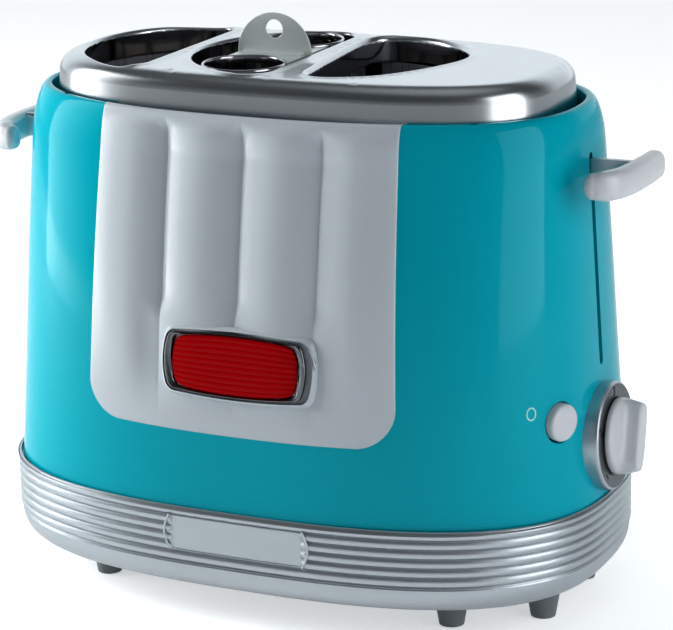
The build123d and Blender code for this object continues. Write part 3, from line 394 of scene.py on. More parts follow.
def box_mesh(lo, hi):
    v = [(x, y, z) for x in (lo[0], hi[0]) for y in (lo[1], hi[1]) for z in (lo[2], hi[2])]
    f = [(0, 1, 3, 2), (4, 6, 7, 5), (0, 4, 5, 1), (2, 3, 7, 6), (0, 2, 6, 4), (1, 5, 7, 3)]
    return v, f


def slot_mesh(x0, x1, w, z0, z1, steps=10):
    """Slot with round ends, through the end wall."""
    ring = []
    for k in range(steps + 1):
        t = pi * k / steps
        ring.append((w / 2 * math.cos(t), z1 - w / 2 + w / 2 * math.sin(t)))
    for k in range(steps + 1):
        t = pi + pi * k / steps
        ring.append((w / 2 * math.cos(t), z0 + w / 2 + w / 2 * math.sin(t)))
    m = len(ring)
    v = [(x0, y, z) for y, z in ring] + [(x1, y, z) for y, z in ring]
    f = [(j, (j + 1) % m, m + (j + 1) % m, m + j) for j in range(m)]
    f += [tuple(range(m))[::-1], tuple(range(m, 2 * m))]
    return v, f


def cut(ob, tools):
    for t in tools:
        md = ob.modifiers.new("cut", "BOOLEAN")
        md.operation = "DIFFERENCE"
        md.solver = "EXACT"
        md.object = t
    dg = bpy.context.evaluated_depsgraph_get()
    dg.update()
    me = bpy.data.meshes.new_from_object(ob.evaluated_get(dg))
    ob.modifiers.clear()
    ob.data = me
    for t in tools:
        d = t.data
        bpy.data.objects.remove(t)
        bpy.data.meshes.remove(d)


# button: place and axis
BZ, BY = 89.2, -36.0
ba, bb, bn = house(BZ)
ba, bb = ba - 0.25, bb - 0.06
BX = side_x(ba, bb, bn, BY)
g = Vector(((BX / ba) ** (bn - 1) / ba, -((abs(BY) / bb) ** (bn - 1)) / bb, 0)).normalized()
B_AXIS, B_O = g, Vector((BX, BY, BZ))
B_X = Vector((-g.y, g.x, 0))

me = bpy.data.meshes.new("shell")
me.from_pydata([tuple(c * MM for c in v) for v in verts], [], faces)
shell = bpy.data.objects.new("shell", me)
scene.collection.objects.link(shell)
flip_out(shell)
tools = []
v, f = slot_mesh(105, 140, 3.7, 103.8, 192.2)
tools.append(cutter("c1", v, f))
v, f = slot_mesh(-140, -105, 3.7, 103.8, 192.2)
tools.append(cutter("c2", v, f))
v, f = lathe([(8.2, -14), (8.2, -0.9), (8.75, 0.35), (8.75, 12)], 72)
tools.append(cutter("c3", placed(v, B_O, B_X, B_AXIS), f))
v, f = lathe([(6.5, -20), (6.5, 20)], 48)
tools.append(cutter("c4", placed(v, (-70.0, 78.0, 68.0), (1, 0, 0), (0, 1, 0)), f))
cut(shell, tools)


def panel_half(z):
    return 65.5 + (69.6 - 65.5) * (230.0 - min(z, 211.0)) / (230.0 - 82.4)


bm = bmesh.new()
bm.from_mesh(shell.data)
gone = []
for fc in bm.faces:
    c = fc.calc_center_median() / MM
    if c.y < 0 and 89.0 < c.z < 208.6 and abs(c.x) < panel_half(c.z) - 7.0:
        a, b, n = wall(c.z)
        if abs(c.x / a) ** n + abs(c.y / b) ** n > 0.975:
            gone.append(fc)
bmesh.ops.delete(bm, geom=gone, context="FACES")
bm.to_mesh(shell.data)
bm.free()
me = shell.data
me.materials.clear()
me.materials.append(M_body)
me.polygons.foreach_set("use_smooth", [True] * len(me.polygons))
me.set_sharp_from_angle(angle=math.radians(32))
base = [Vector(nn.vector) for nn in me.corner_normals]
for p in me.polygons:
    c = Vector(p.center) / MM
    if not 50.0 < c.z < 210.2:
        continue
    a, b, n = wall(c.z)
    v = abs(c.x / a) ** n + abs(c.y / b) ** n
    o = outward(c.x, c.y, c.z)
    if abs(v - 1) < 0.02 and p.normal.dot(o) > 0.93:
        for li in p.loop_indices:
            q = Vector(me.vertices[me.loops[li].vertex_index].co) / MM
            if q.z < 210.5:
                base[li] = outward(q.x, q.y, max(50.0, q.z))
me.normals_split_custom_set(base)
attach(shell, "housing", ("housing_front", "housing_rear"))

# ------------------------------------------------------------------ fluted front panel
FLUTE = 34.5


def flute(x, z):
    """Height of the panel over the housing's wall."""
    half = panel_half(z)
    up = smooth(z, 86.0, 116.0) * (1 - smooth(z, 203.0, 208.9))
    m = abs(x)
    near = smooth(max(abs(x - 2.4) - 36.0, abs(z - 112.0) - 15.0), 0.0, 10.0)
    crest, valley = 1.7, -2.7 * (0.3 + 0.7 * near)
    if m <= FLUTE:
        q = (m - FLUTE / 2) / (FLUTE / 2)
        h = valley + (crest - valley) * (1 - abs(q) ** 2.0)
    else:
        q = (m - FLUTE) / (half - FLUTE)
        c = 0.52
        if q < c:
            h = crest - (crest - valley) * ((c - q) / c) ** 2.0
        else:
            h = crest * (1 - ((q - c) / (1 - c)) ** 2.2)
    e = min(1.0, max(0.0, (half - m) / 1.2))
    edge = 0.35 * math.sqrt(max(0.0, 1 - (1 - e) ** 2))
    e2 = min(1.0, max(0.0, (z - panel_floor(x)) / 1.2))
    edge = min(edge, 0.35 * math.sqrt(max(0.0, 1 - (1 - e2) ** 2)))
    return h * up + edge


def panel_floor(x):
    return 82.3 + 1.0 * (x / 69.0) ** 2


u_list = []
marks = [-1.0, 1.0]
for k in range(-80, 81):
    u_list.append(k / 80)
for v0 in (-FLUTE, 0.0, FLUTE):
    for dx in (-1.2, -0.6, -0.3, 0.0, 0.3, 0.6, 1.2):
        u_list.append((v0 + dx) / 67.5)
for dx in (0.15, 0.4, 0.8):
    u_list += [1 - dx / 67.5, -1 + dx / 67.5]
u_list = sorted(set(round(u, 5) for u in u_list))
R = 17.0
zs = [82.35 + R * (1 - math.cos(pi / 2 * k / 16)) for k in range(17)]
z = zs[-1]
while z < 205:
    z += 2.2
    zs.append(min(z, 205.5))
zs += [206.5, 207.5, 208.4, 209.2, 209.9, 210.5]
pv = []
for z in zs:
    half = panel_half(z)
    if z < 82.3 + R:
        half = half - R + math.sqrt(max(0.0, R * R - (82.3 + R - z) ** 2))
    a, b, n = wall(z)
    for u in u_list:
        x = half * u
        zz = z + (panel_floor(x) - 82.3) * (1 - smooth(z, 82.3, 110.0))
        a2, b2, n2 = wall(zz)
        y = -side_y(a2, b2, n2, x)
        o = outward(x, y, zz)
        h = flute(x, zz)
        if z < 82.3 + R:
            h = min(h, 0.35) if abs(u) > 0.985 else h
        pv.append((x + o.x * h, y + o.y * h, min(zz + o.z * h, 210.7)))
for z, a, b, n in ((210.95, 118.6, 66.6, 2.45), (211.12, 118.15, 66.2, 2.44), (211.12, 117.2, 65.4, 2.40), (210.9, 116.55, 64.95, 2.38), (210.2, 116.35, 64.8, 2.36), (207.0, 116.3, 64.75, 2.36)):
    for u in u_list:
        x = panel_half(z) * u
        pv.append((x, -side_y(a, b, n, x), z))
nu = len(u_list)
pf = grid_faces(len(zs) + 6, nu, closed=False)
panel = new_piece("panel_fluted", pv, pf, M_white, "housing", ("front_panel",))
flip_out(panel)
md = panel.modifiers.new("thick", "SOLIDIFY")
md.thickness = 1.2 * MM
md.offset = -1.0
md.use_rim = True

# ------------------------------------------------------------------ plinth
prow = []
prow.append((15.6, 119.0, 72.0))
prow.append((14.2, 119.5, 72.5))
prow.append((14.0, 121.0, 74.0))
for k in range(0, 15):
    t = k / 14
    z = 14.0 + 11.0 * (1 - math.cos(t * pi / 2)) if t < 1 else 25.0
    kk = (25.0 - z) / 11.0
    ins = 9.0 * (1 - math.sqrt(max(0.0, 1 - kk * kk)))
    if k == 0:
        ins = 8.6
        z = 14.05
    prow.append((z, 133.5 - ins, 86.3 - ins))
prow += [(25.3, 133.5, 86.3), (25.55, 133.15, 85.95), (25.8, 133.15, 85.95), (26.05, 133.5, 86.3), (26.55, 133.3, 86.1)]
RIB0, RIB1 = 26.6, 50.3
PITCH = (RIB1 - RIB0) / 6
for r in range(6):
    for k in range(0, 13):
        t = k / 12
        q = 2 * t - 1
        ins = 1.30 * (1 - math.sqrt(max(0.0, 1 - (q * 0.985) ** 2)))
        if k == 0 and r > 0:
            continue
        prow.append((RIB0 + PITCH * (r + t), 134.2 - ins, 87.0 - ins))
prow.append((50.28, 133.05, 85.8))
prow.append((49.9, 133.0, 85.75))
prow.append((48.4, 132.9, 85.65))
prow.append((48.2, 128.0, 81.0))
prow.append((46.6, 128.0, 81.0))
pl_n = 2.68
verts = []
for z, a, b in prow:
    verts += [(x, y, z) for x, y in column_points(COLS, a, b, pl_n, REF)]
faces = grid_faces(len(prow), NC)


def in_slot(fc):
    cx = sum(verts[i][0] for i in fc) / 4
    cy = sum(verts[i][1] for i in fc) / 4
    cz = sum(verts[i][2] for i in fc) / 4
    return cy > 50 and abs(cx) < 60.5 and 16.9 < cz < 28.9


PX, PZ0, PZ1 = 1.35, 30.9, 46.8


def in_plate(fc):
    cx = sum(verts[i][0] for i in fc) / 4
    cy = sum(verts[i][1] for i in fc) / 4
    cz = sum(verts[i][2] for i in fc) / 4
    return cy < -50 and abs(cx - PX) < 29.6 and PZ0 + 0.7 < cz < PZ1 - 0.7


faces = [fc for fc in faces if not in_slot(fc) and not in_plate(fc)]
plinth = new_piece("plinth_ribbed", verts, faces, M_silver, "housing", ("base_plinth",), sharp=60)
flip_out(plinth)
md = plinth.modifiers.new("thick", "SOLIDIFY")
md.thickness = 1.6 * MM
md.offset = -1.0

# blank plate with bracket-shaped ends
pmid, phalf = (PZ0 + PZ1) / 2, (PZ1 - PZ0) / 2


def plate_end(z):
    q = abs(z - pmid) / phalf
    return 30.0 + 2.65 * (1 - q ** 1.7)


pz = [PZ0 + (PZ1 - PZ0) * k / 24 for k in range(25)]
pu = [-1, -0.994, -0.985] + [k / 20 for k in range(-19, 20)] + [0.985, 0.994, 1]
pv = []
for i, z in enumerate(pz):
    ez = min(1.0, min(z - PZ0, PZ1 - z) / 0.5)
    for u in pu:
        x = PX + plate_end(z) * u
        lift = -0.15 - 0.45 * (1 - math.sqrt(max(0.0, 1 - (1 - ez) ** 2)))
        if abs(u) > 0.99:
            lift -= 0.25 * (abs(u) - 0.99) / 0.01
        y = -side_y(134.2, 87.0, pl_n, x) + 0.35 - lift
        pv.append((x, y, z))
plate = new_piece("plate_blank", pv, grid_faces(len(pz), len(pu), closed=False), M_silver, "housing", ("nameplate",))
flip_out(plate)
md = plate.modifiers.new("thick", "SOLIDIFY")
md.thickness = 1.8 * MM
md.offset = -1.0


def tube(name, pts, radius, mat, body, closed=False, count=10):
    """Round wire along points in mm."""
    cu = bpy.data.curves.new(name, "CURVE")
    cu.dimensions = "3D"
    cu.bevel_depth = radius * MM
    cu.bevel_resolution = 4
    cu.use_fill_caps = True
    sp = cu.splines.new("POLY")
    sp.points.add(len(pts) - 1)
    for p, q in zip(sp.points, pts):
        p.co = (q[0] * MM, q[1] * MM, q[2] * MM, 1)
    sp.use_cyclic_u = closed
    cu.materials.append(mat)
    tmp = bpy.data.objects.new(name, cu)
    scene.collection.objects.link(tmp)
    dg = bpy.context.evaluated_depsgraph_get()
    dg.update()
    me = bpy.data.meshes.new_from_object(tmp.evaluated_get(dg))
    bpy.data.objects.remove(tmp)
    me.polygons.foreach_set("use_smooth", [True] * len(me.polygons))
    ob = bpy.data.objects.new(name, me)
    scene.collection.objects.link(ob)
    attach(ob, body)
    return ob


for side in (-1, 1):
    pts = []
    for k in range(33):
        z = PZ0 + 0.2 + (PZ1 - PZ0 - 0.4) * k / 32
        x = PX + side * plate_end(z)
        pts.append((x, -side_y(134.2, 87.0, pl_n, x) - 0.02, z))
    tube("plate_edge_%s" % ("l" if side < 0 else "r"), pts, 0.5, M_silver, "housing")

# ------------------------------------------------------------------ steel top
D_B, D_CORNER = 47.6, 8.0


def dee(x0, a, b, r, side, bow=0.0):
    """Outline of a D-shaped opening, anticlockwise or clockwise by side."""
    xc = x0 + side * r
    ye = b * math.sqrt(1 - (r / a) ** 2)
    start = math.acos(r / a)
    pts = []
    for i in range(97):
        f = start * (1 - i / 48)
        pts.append((x0 + side * a * math.cos(f), b * math.sin(f)))
    for i in range(1, 15):
        t = pi / 2 * i / 14
        pts.append((xc - side * r * math.sin(t), -(ye - r) - r * math.cos(t)))
    m = 40
    for i in range(1, m):
        y = -(ye - r) + 2 * (ye - r) * i / m
        pts.append((x0 + side * bow * (1 - (y / (ye - r)) ** 2), y))
    for i in range(0, 14):
        t = pi / 2 * i / 14
        pts.append((xc - side * r * math.cos(t), (ye - r) + r * math.sin(t)))
    return pts


def eased_loop(pts, per=9):
    """Closed smooth outline through the points."""
    out = []
    m = len(pts)
    for i in range(m):
        p0, p1, p2, p3 = (np.array(pts[(i + k) % m]) for k in (-1, 0, 1, 2))
        t1, t2 = math.dist(p0, p1) ** 0.5, math.dist(p1, p2) ** 0.5
        t3 = math.dist(p2, p3) ** 0.5
        m1 = (p1 - p0) / t1 - (p2 - p0) / (t1 + t2) + (p2 - p1) / t2
        m2 = (p2 - p1) / t2 - (p3 - p1) / (t2 + t3) + (p3 - p2) / t3
        for k in range(per):
            t = k / per
            h = (2 * t ** 3 - 3 * t * t + 1, t ** 3 - 2 * t * t + t, -2 * t ** 3 + 3 * t * t, t ** 3 - t * t)
            q = h[0] * p1 + h[1] * m1 * t2 + h[2] * p2 + h[3] * m2 * t2
            out.append((float(q[0]), float(q[1])))
    return out


def anticlockwise(pts):
    area = sum(p[0] * q[1] - q[0] * p[1] for p, q in zip(pts, pts[1:] + pts[:1]))
    return pts if area > 0 else pts[::-1]


HOLES = [
    anticlockwise(dee(-57.5, 43.5, D_B, D_CORNER, -1)),
    anticlockwise(dee(0.2, 50.7, 50.0, 10.0, -1)),
    anticlockwise(eased_loop([
        (15.2, -36.5), (17.5, -41.0), (22.5, -43.3), (29.0, -42.0), (41.5, -35.0), (52.0, -21.0), (59.5, -4.0), (62.8, 10.0), (60.5, 23.5),
        (51.5, 36.0), (38.0, 44.8), (24.0, 48.2), (14.5, 47.0), (10.0, 41.5), (8.8, 33.0), (10.4, 10.0), (12.3, -12.0), (14.2, -29.0),
    ])),
]
TOP_Z, TOP_A, TOP_B, TOP_N = 224.5, 108.3, 55.6, 2.88
FIL_R, FIL_W = 8.0, 5.5  # rounding of the outer edge and how much of it the top carries
FIL_T = math.asin(FIL_W / FIL_R)
RISE, ROLL = 0.6, (1.8, 1.5, 2.6)


def polygon_distance(P, poly):
    A = np.array(poly)
    B = np.roll(A, -1, 0)
    d = B - A
    L = (d * d).sum(1) + 1e-12
    best = np.full(len(P), 1e9)
    for lo in range(0, len(P), 2000):
        Q = P[lo:lo + 2000][:, None, :]
        t = np.clip(((Q - A) * d).sum(2) / L, 0, 1)
        e = ((Q - (A + t[..., None] * d)) ** 2).sum(2)
        best[lo:lo + 2000] = np.sqrt(e.min(1))
    return best


outer_ring = [(x, y) for x, y in column_points(COLS, TOP_A, TOP_B, TOP_N, REF)]
outer_ring = anticlockwise(outer_ring)


def np_smooth(t, lo, hi):
    t = np.clip((t - lo) / (hi - lo), 0, 1)
    return t * t * (3 - 2 * t)


def top_height(P, with_roll=True):
    ds = np.stack([polygon_distance(P, h) for h in HOLES])
    d = ds.min(0)
    e = polygon_distance(P, outer_ring)
    z = TOP_Z + RISE * (1 - np_smooth(d, 1.5, 5.0)) * np_smooth(e, 2.0, 6.5)
    z = z - (FIL_R - np.sqrt(FIL_R ** 2 - np.clip(FIL_W - e, 0, FIL_W) ** 2))
    if with_roll:
        for r, dh in zip(ROLL, ds):
            k = np.clip(1 - dh / r, 0, 1)
            z = z - r * (1 - np.sqrt(np.clip(1 - k * k, 0, 1)))
    return z, d, e


def normals_of(poly):
    A = np.array(poly)
    t = np.roll(A, -1, 0) - np.roll(A, 1, 0)
    t /= np.linalg.norm(t, axis=1)[:, None]
    return np.c_[t[:, 1], -t[:, 0]]


pts = []
cons = []
loops = []
for h in [outer_ring] + HOLES:
    s = len(pts)
    pts += [tuple(p) for p in h]
    ids = list(range(s, s + len(h)))
    loops.append(ids)
    cons += [(ids[i], ids[(i + 1) % len(ids)]) for i in range(len(ids))]
free = []
for hi, h in enumerate(HOLES):
    N = normals_of(h)
    A = np.array(h)
    for r in (0.06, 0.16, 0.32, 0.55, 0.85, 1.2, 1.6, 2.1, 2.7, 3.4, 4.2, 5.0, 6.4, 8.0, 9.8, 12.0):
        step = 1 if r < 3 else 2
        Q = (A + N * r)[::step]
        others = [polygon_distance(Q, HOLES[k]) for k in range(3) if k != hi]
        keep = np.ones(len(Q), bool)
        for o in others:
            keep &= o > r * 1.02 + 0.05
        free.append(Q[keep])
ON = -normals_of(outer_ring)
OA = np.array(outer_ring)
for r in (0.6, 1.3, 2.0, 2.8, 3.6, 4.5, 5.5, 7.0, 9.5):
    Q = (OA + ON * r)[::2]
    d = np.stack([polygon_distance(Q, h) for h in HOLES]).min(0)
    free.append(Q[d > np.maximum(1.6, min(r, 3.0))])
gx, gy = np.meshgrid(np.arange(-104, 105, 4.0), np.arange(-52, 53, 4.0))
Q = np.c_[gx.ravel(), gy.ravel()]
free.append(Q[(np.stack([polygon_distance(Q, h) for h in HOLES]).min(0) > 12.5) & (polygon_distance(Q, outer_ring) > 10)])
F = np.vstack(free)


def inside(P, poly):
    A = np.array(poly)
    B = np.roll(A, -1, 0)
    res = np.zeros(len(P), bool)
    for (x1, y1), (x2, y2) in zip(A, B):
        c = ((y1 > P[:, 1]) != (y2 > P[:, 1])) & (P[:, 0] < (x2 - x1) * (P[:, 1] - y1) / (y2 - y1 + 1e-12) + x1)
        res ^= c
    return res


ok = inside(F, outer_ring) & (polygon_distance(F, outer_ring) > 0.4)
for h in HOLES:
    ok &= ~inside(F, h)
F = F[ok]
# thin out points that nearly coincide
order = np.lexsort((F[:, 1], F[:, 0]))
cells = {}
keep = []
for p in F:
    d = float(min(polygon_distance(p[None, :], h)[0] for h in HOLES))
    cell = 0.12 if d < 0.5 else (0.28 if d < 1.5 else (0.5 if d < 3 else 1.2))
    key = (round(p[0] / cell), round(p[1] / cell), cell)
    if key in cells:
        continue
    cells[key] = 1
    keep.append(tuple(p))
pts += keep
res = delaunay_2d_cdt([Vector(p) for p in pts], cons, [], 0, 1e-5)
rv, rf = res[0], res[2]
P2 = np.array([tuple(p) for p in rv])
cent = np.array([np.mean([P2[i] for i in fc], axis=0) for fc in rf])
good = inside(cent, outer_ring)
for h in HOLES:
    good &= ~inside(cent, h)
rf = [tuple(fc) for fc, g2 in zip(rf, good) if g2]
Z, DD, EE = top_height(P2)
eps = 0.02
Zx = (top_height(P2 + [eps, 0])[0] - top_height(P2 - [eps, 0])[0]) / (2 * eps)
Zy = (top_height(P2 + [0, eps])[0] - top_height(P2 - [0, eps])[0]) / (2 * eps)
tv = [(p[0], p[1], z) for p, z in zip(P2, Z)]
tn = [Vector((-sx, -sy, 1)).normalized() for sx, sy in zip(Zx, Zy)]
hole_arr = [np.array(h) for h in HOLES]
hole_nrm = [normals_of(h) for h in HOLES]
for i in np.nonzero(DD < 0.06)[0]:
    best, bn2 = 1e9, None
    for A, N in zip(hole_arr, hole_nrm):
        dd = ((A - P2[i]) ** 2).sum(1)
        k = int(dd.argmin())
        if dd[k] < best:
            best, bn2 = dd[k], N[k]
    tn[i] = Vector((-bn2[0], -bn2[1], 0.06)).normalized()
for i in np.nonzero(EE < 0.05)[0]:
    k = int(((OA - P2[i]) ** 2).sum(1).argmin())
    tn[i] = Vector((-ON[k][0] * math.sin(FIL_T), -ON[k][1] * math.sin(FIL_T), math.cos(FIL_T)))
tf = list(rf)
# make every triangle face up
tf = [fc if (Vector(tv[fc[1]]) - Vector(tv[fc[0]])).cross(Vector(tv[fc[2]]) - Vector(tv[fc[0]])).z > 0 else fc[::-1] for fc in tf]
mat_ids = [0] * len(tf)
# collar walls
for h, A, N in zip(HOLES, hole_arr, hole_nrm):
    zt = top_height(A)[0]
    m = len(h)
    s = len(tv)
    prof = [(0.0, None, 0), (0.0, 218.0, 0), (0.0, 214.5, 0), (0.15, 214.1, -1), (0.5, 214.0, -1), (0.95, 214.2, 1), (1.0, 216.0, 1), (1.0, 221.5, 1)]
    for off, z, nz in prof:
        for j in range(m):
            q = A[j] + N[j] * off
            tv.append((q[0], q[1], zt[j] if z is None else z))
            tn.append(Vector((-N[j][0], -N[j][1], 0)) if nz == 0 else (Vector((N[j][0], N[j][1], 0)) if nz == 1 else Vector((0, 0, -1))))
    for fc in grid_faces(len(prof), m, start=s):
        tf.append(fc)
        mat_ids.append(1)
# rolled edge and side wall
srow = []
T_END = math.radians(84)
for k in range(0, 13):
    t = FIL_T + (T_END - FIL_T) * k / 12
    g1 = FIL_R * math.sin(t) - FIL_W
    srow.append((TOP_Z - FIL_R * (1 - math.cos(t)), TOP_A + g1, TOP_B + g1, 2.88 - 0.04 * k / 12, t))
for z, a, b, n in ((215.0, 110.92, 58.25, 2.835), (213.0, 111.13, 58.5, 2.825), (209.0, 111.5, 58.95, 2.80), (205.0, 111.85, 59.4, 2.775), (201.6, 112.1, 59.75, 2.755), (201.0, 112.0, 59.65, 2.75)):
    srow.append((z, a, b, n, T_END))
s = len(tv)
for z, a, b, n, t in srow:
    for x, y in column_points(COLS, a, b, n, REF):
        nx = math.copysign(abs(x / a) ** (n - 1) / a, x)
        ny = math.copysign(abs(y / b) ** (n - 1) / b, y)
        o = Vector((nx, ny, 0)).normalized()
        tv.append((x, y, z))
        tn.append((o * math.sin(t) + Vector((0, 0, 1)) * math.cos(t)).normalized())
for fc in grid_faces(len(srow), NC, start=s, flip=True):
    tf.append(fc)
    mat_ids.append(0)
cover = new_piece("steel_top", tv, tf, [M_cover, M_polish], "housing", ("top_cover",), normals=tn, mat_ids=mat_ids)

# ------------------------------------------------------------------ badge and its raised pad
BG_Z = 112.0
lean = math.atan2(-side_y(*house(122.0), 0) + side_y(*house(102.0), 0), 20.0)
BG_N = Vector((0, -math.cos(lean), math.sin(lean)))
BG_O = Vector((0, -side_y(*house(BG_Z), 0), BG_Z))


def badge_outline(half_w, half_h, bow, r, arch, steps=12):
    """Rounded plate with bowed ends and slightly arched long edges."""
    corners = [(half_w - bow - r, half_h - r, 0), (-(half_w - bow) + r, half_h - r, 90), (-(half_w - bow) + r, -half_h + r, 180), (half_w - bow - r, -half_h + r, 270)]
    raw = []
    for cx, cy, t0 in corners:
        for k in range(steps + 1):
            t = math.radians(t0 + 90 * k / steps)
            raw.append((cx + r * math.cos(t), cy + r * math.sin(t)))
    dense = []
    for i, p in enumerate(raw):
        q = raw[(i + 1) % len(raw)]
        k = max(1, int(math.dist(p, q) / 1.2))
        dense += [(p[0] + (q[0] - p[0]) * j / k, p[1] + (q[1] - p[1]) * j / k) for j in range(k)]
    out = []
    for x, y in dense:
        bx = bow * (1 - (y / half_h) ** 2) * abs(x) / (half_w - bow)
        by = arch * (1 - (x / half_w) ** 2) * abs(y) / half_h
        out.append((x + math.copysign(bx, x), y + math.copysign(by, y)))
    return out


def stack(outlines, heights):
    """Closed solid of stacked outlines with a filled top and bottom."""
    m = len(outlines[0])
    v = [(x, y, h) for o, h in zip(outlines, heights) for x, y in o]
    f = grid_faces(len(outlines), m)
    f.append(tuple(range(m))[::-1])
    f.append(tuple((len(outlines) - 1) * m + j for j in range(m)))
    return v, f


def badge_place(v, shift=1.5):
    """Local (x, up, out) on the leaning badge plane, following the panel's slight curve across."""
    up = Vector((0, math.sin(lean), math.cos(lean)))
    out = []
    for x, y, s in v:
        x += shift
        y0 = -side_y(*house(BG_Z), x)
        back = (y0 - BG_O.y)
        q = BG_O + Vector((x, 0, 0)) + up * y + BG_N * s + Vector((0, back, 0))
        out.append(tuple(q))
    return out


W2, H2 = 31.7, 11.3
BOW, ARCH = 2.3, 1.8
pad = [badge_outline(W2 + 2.7 - i, H2 + 1.8 - i, BOW, 3.4 - i * 0.5, ARCH) for i in (-1.3, -0.7, -0.3, 0.0, 0.35, 0.9)]
v, f = stack(pad, [-3.0, 0.4, 1.1, 1.7, 2.15, 2.4])
ob = new_piece("badge_pad", badge_place(v, 2.4), f, M_white, "housing", sharp=40)
flip_out(ob)
rim_o = [badge_outline(W2 + d, H2 + d, BOW, 2.2 + d, ARCH) for d in (0.0, 0.0, -0.2, -0.5)]
rim_i = [badge_outline(29.3 + d, 10.5 + d * 0.4, 2.4, 1.8, 1.7) for d in (1.0, 0.25, 0.0, 0.0)]
m = len(rim_o[0])
heights = (1.9, 2.9, 3.25, 3.4, 3.35, 2.95, 2.7, 1.9)
v = [(x, y, h) for o, h in zip(rim_o + rim_i, heights) for x, y in o]
f = grid_faces(8, m) + [(7 * m + j, 7 * m + (j + 1) % m, (j + 1) % m, j) for j in range(m)]
ob = new_piece("badge_rim", badge_place(v), f, M_chrome, "housing", ("badge_frame",), sharp=40)
flip_out(ob)
# ribbed red lens, domed towards its ends
nx_, ny_ = 96, 200
RIBS = 10
v = []
for j in range(ny_ + 1):
    yy = -1 + 2 * j / ny_
    for i in range(nx_ + 1):
        xx = -1 + 2 * i / nx_
        w = 26.1 + 2.4 * (1 - yy * yy)
        h = 10.35 + 1.7 * (1 - xx * xx)
        k = 1 - 0.05 * (abs(xx) ** 10) * (abs(yy) ** 10)
        x, y = xx * w * k, yy * h * k
        dome = 0.85 * (1 - abs(xx) ** 7) * (1 - 0.5 * abs(yy) ** 8)
        edge = max(abs(xx) ** 1.6, abs(yy))
        rib = 0.34 * abs(math.sin(pi * RIBS / 2 * yy)) ** 0.75 * (1 - smooth(edge, 0.955, 0.985))
        v.append((x, y, 2.15 + dome + rib))
f = grid_faces(ny_ + 1, nx_ + 1, closed=False)
ob = new_piece("badge_ribbed", badge_place(v), f, M_red, "housing", ("badge_insert",))
md = ob.modifiers.new("thick", "SOLIDIFY")
md.thickness = 0.8 * MM
md.offset = -1.0

# ------------------------------------------------------------------ levers


PATH = [(132.8, -25.6), (135.5, -24.4), (138.2, -21.5), (140.5, -16.7), (141.9, -10.5), (142.6, -3.5), (142.9, 4.0), (143.1, 11.5), (143.0, 20.2)]


def eased(path, per=8):
    """Smooth curve through the points."""
    pts = [Vector((*q, 0)) for q in path]
    pts = [pts[0] * 2 - pts[1]] + pts + [pts[-1] * 2 - pts[-2]]
    out = []
    for i in range(1, len(pts) - 2):
        p0, p1, p2, p3 = pts[i - 1:i + 3]
        for k in range(per):
            t = k / per
            out.append(0.5 * (2 * p1 + (p2 - p0) * t + (2 * p0 - 5 * p1 + 4 * p2 - p3) * t * t + (3 * p1 - p0 - 3 * p2 + p3) * t ** 3))
    out.append(pts[-2])
    return out


def hooked(side):
    """Swept paddle with rounded section and ends, its front end curling in towards the housing."""
    ring = 40
    centre = eased(PATH)
    L = len(centre)
    sections = []
    for k, c in enumerate(centre):
        tan = (centre[min(L - 1, k + 1)] - centre[max(0, k - 1)]).normalized()
        u = k / (L - 1)
        w = 4.55 - 0.75 * (1 - smooth(u, 0.0, 0.25)) - 0.2 * smooth(u, 0.7, 1.0)
        h = 6.0 - 0.7 * (1 - smooth(u, 0.0, 0.2)) - 0.2 * smooth(u, 0.75, 1.0)
        sections.append((c, tan, w, h, 1.0))
    first, lastc = sections[0], sections[-1]
    cap, end = [], []
    for j in range(10, 0, -1):
        th = pi / 2 * j / 10.4
        cap.append((first[0] - first[1] * 3.8 * math.sin(th), first[1], first[2], first[3], math.cos(th)))
    for j in range(1, 11):
        th = pi / 2 * j / 10.4
        end.append((lastc[0] + lastc[1] * 3.4 * math.sin(th), lastc[1], lastc[2], lastc[3], math.cos(th)))
    sections = cap + sections + end
    verts = []
    for c, tan, w, h, k in sections:
        nrm = Vector((tan.y, -tan.x, 0))
        for j in range(ring):
            t = 2 * pi * j / ring
            cx = math.copysign(abs(math.cos(t)) ** (2 / 2.8), math.cos(t))
            cz = math.copysign(abs(math.sin(t)) ** (2 / 2.8), math.sin(t))
            q = c + nrm * (w * k ** 0.9 * cx)
            verts.append((side * q.x, q.y, 184.5 + h * (0.35 + 0.65 * k) * k ** 0.5 * cz))
    n = len(sections)
    faces = grid_faces(n, ring)
    faces.append(tuple(range(ring))[::-1])
    faces.append(tuple((n - 1) * ring + j for j in range(ring)))
    return verts, faces


for side, name in ((1, "right"), (-1, "left")):
    v, f = hooked(side)
    ob = new_piece("paddle_" + name, v, f, M_knob, "carriage", ("lever_" + name,), sharp=60)
    flip_out(ob)
    # neck that joins the paddle to the arm in the slot
    v, f = [], []
    m = 24
    prof = [(116.5, 1.3, 3.1, 185.5), (124.0, 1.3, 3.1, 185.5), (127.5, 1.3, 3.1, 185.5), (131.5, 1.35, 3.1, 185.5), (133.2, 1.45, 3.3, 185.4), (136.0, 1.8, 4.3, 184.7), (138.5, 2.7, 4.9, 184.5), (141.0, 4.4, 5.2, 184.5)]
    for x, w, h, zc in prof:
        for j in range(m):
            t = 2 * pi * j / m
            cy = math.copysign(abs(math.cos(t)) ** 0.5, math.cos(t))
            cz = math.copysign(abs(math.sin(t)) ** 0.5, math.sin(t))
            v.append((side * x, w * cy, zc + h * cz))
    f = grid_faces(len(prof), m) + [tuple(range(m))[::-1], tuple((len(prof) - 1) * m + j for j in range(m))]
    ob = new_piece("paddle_neck_" + name, v, f, M_knob, "carriage", sharp=50)
    flip_out(ob)

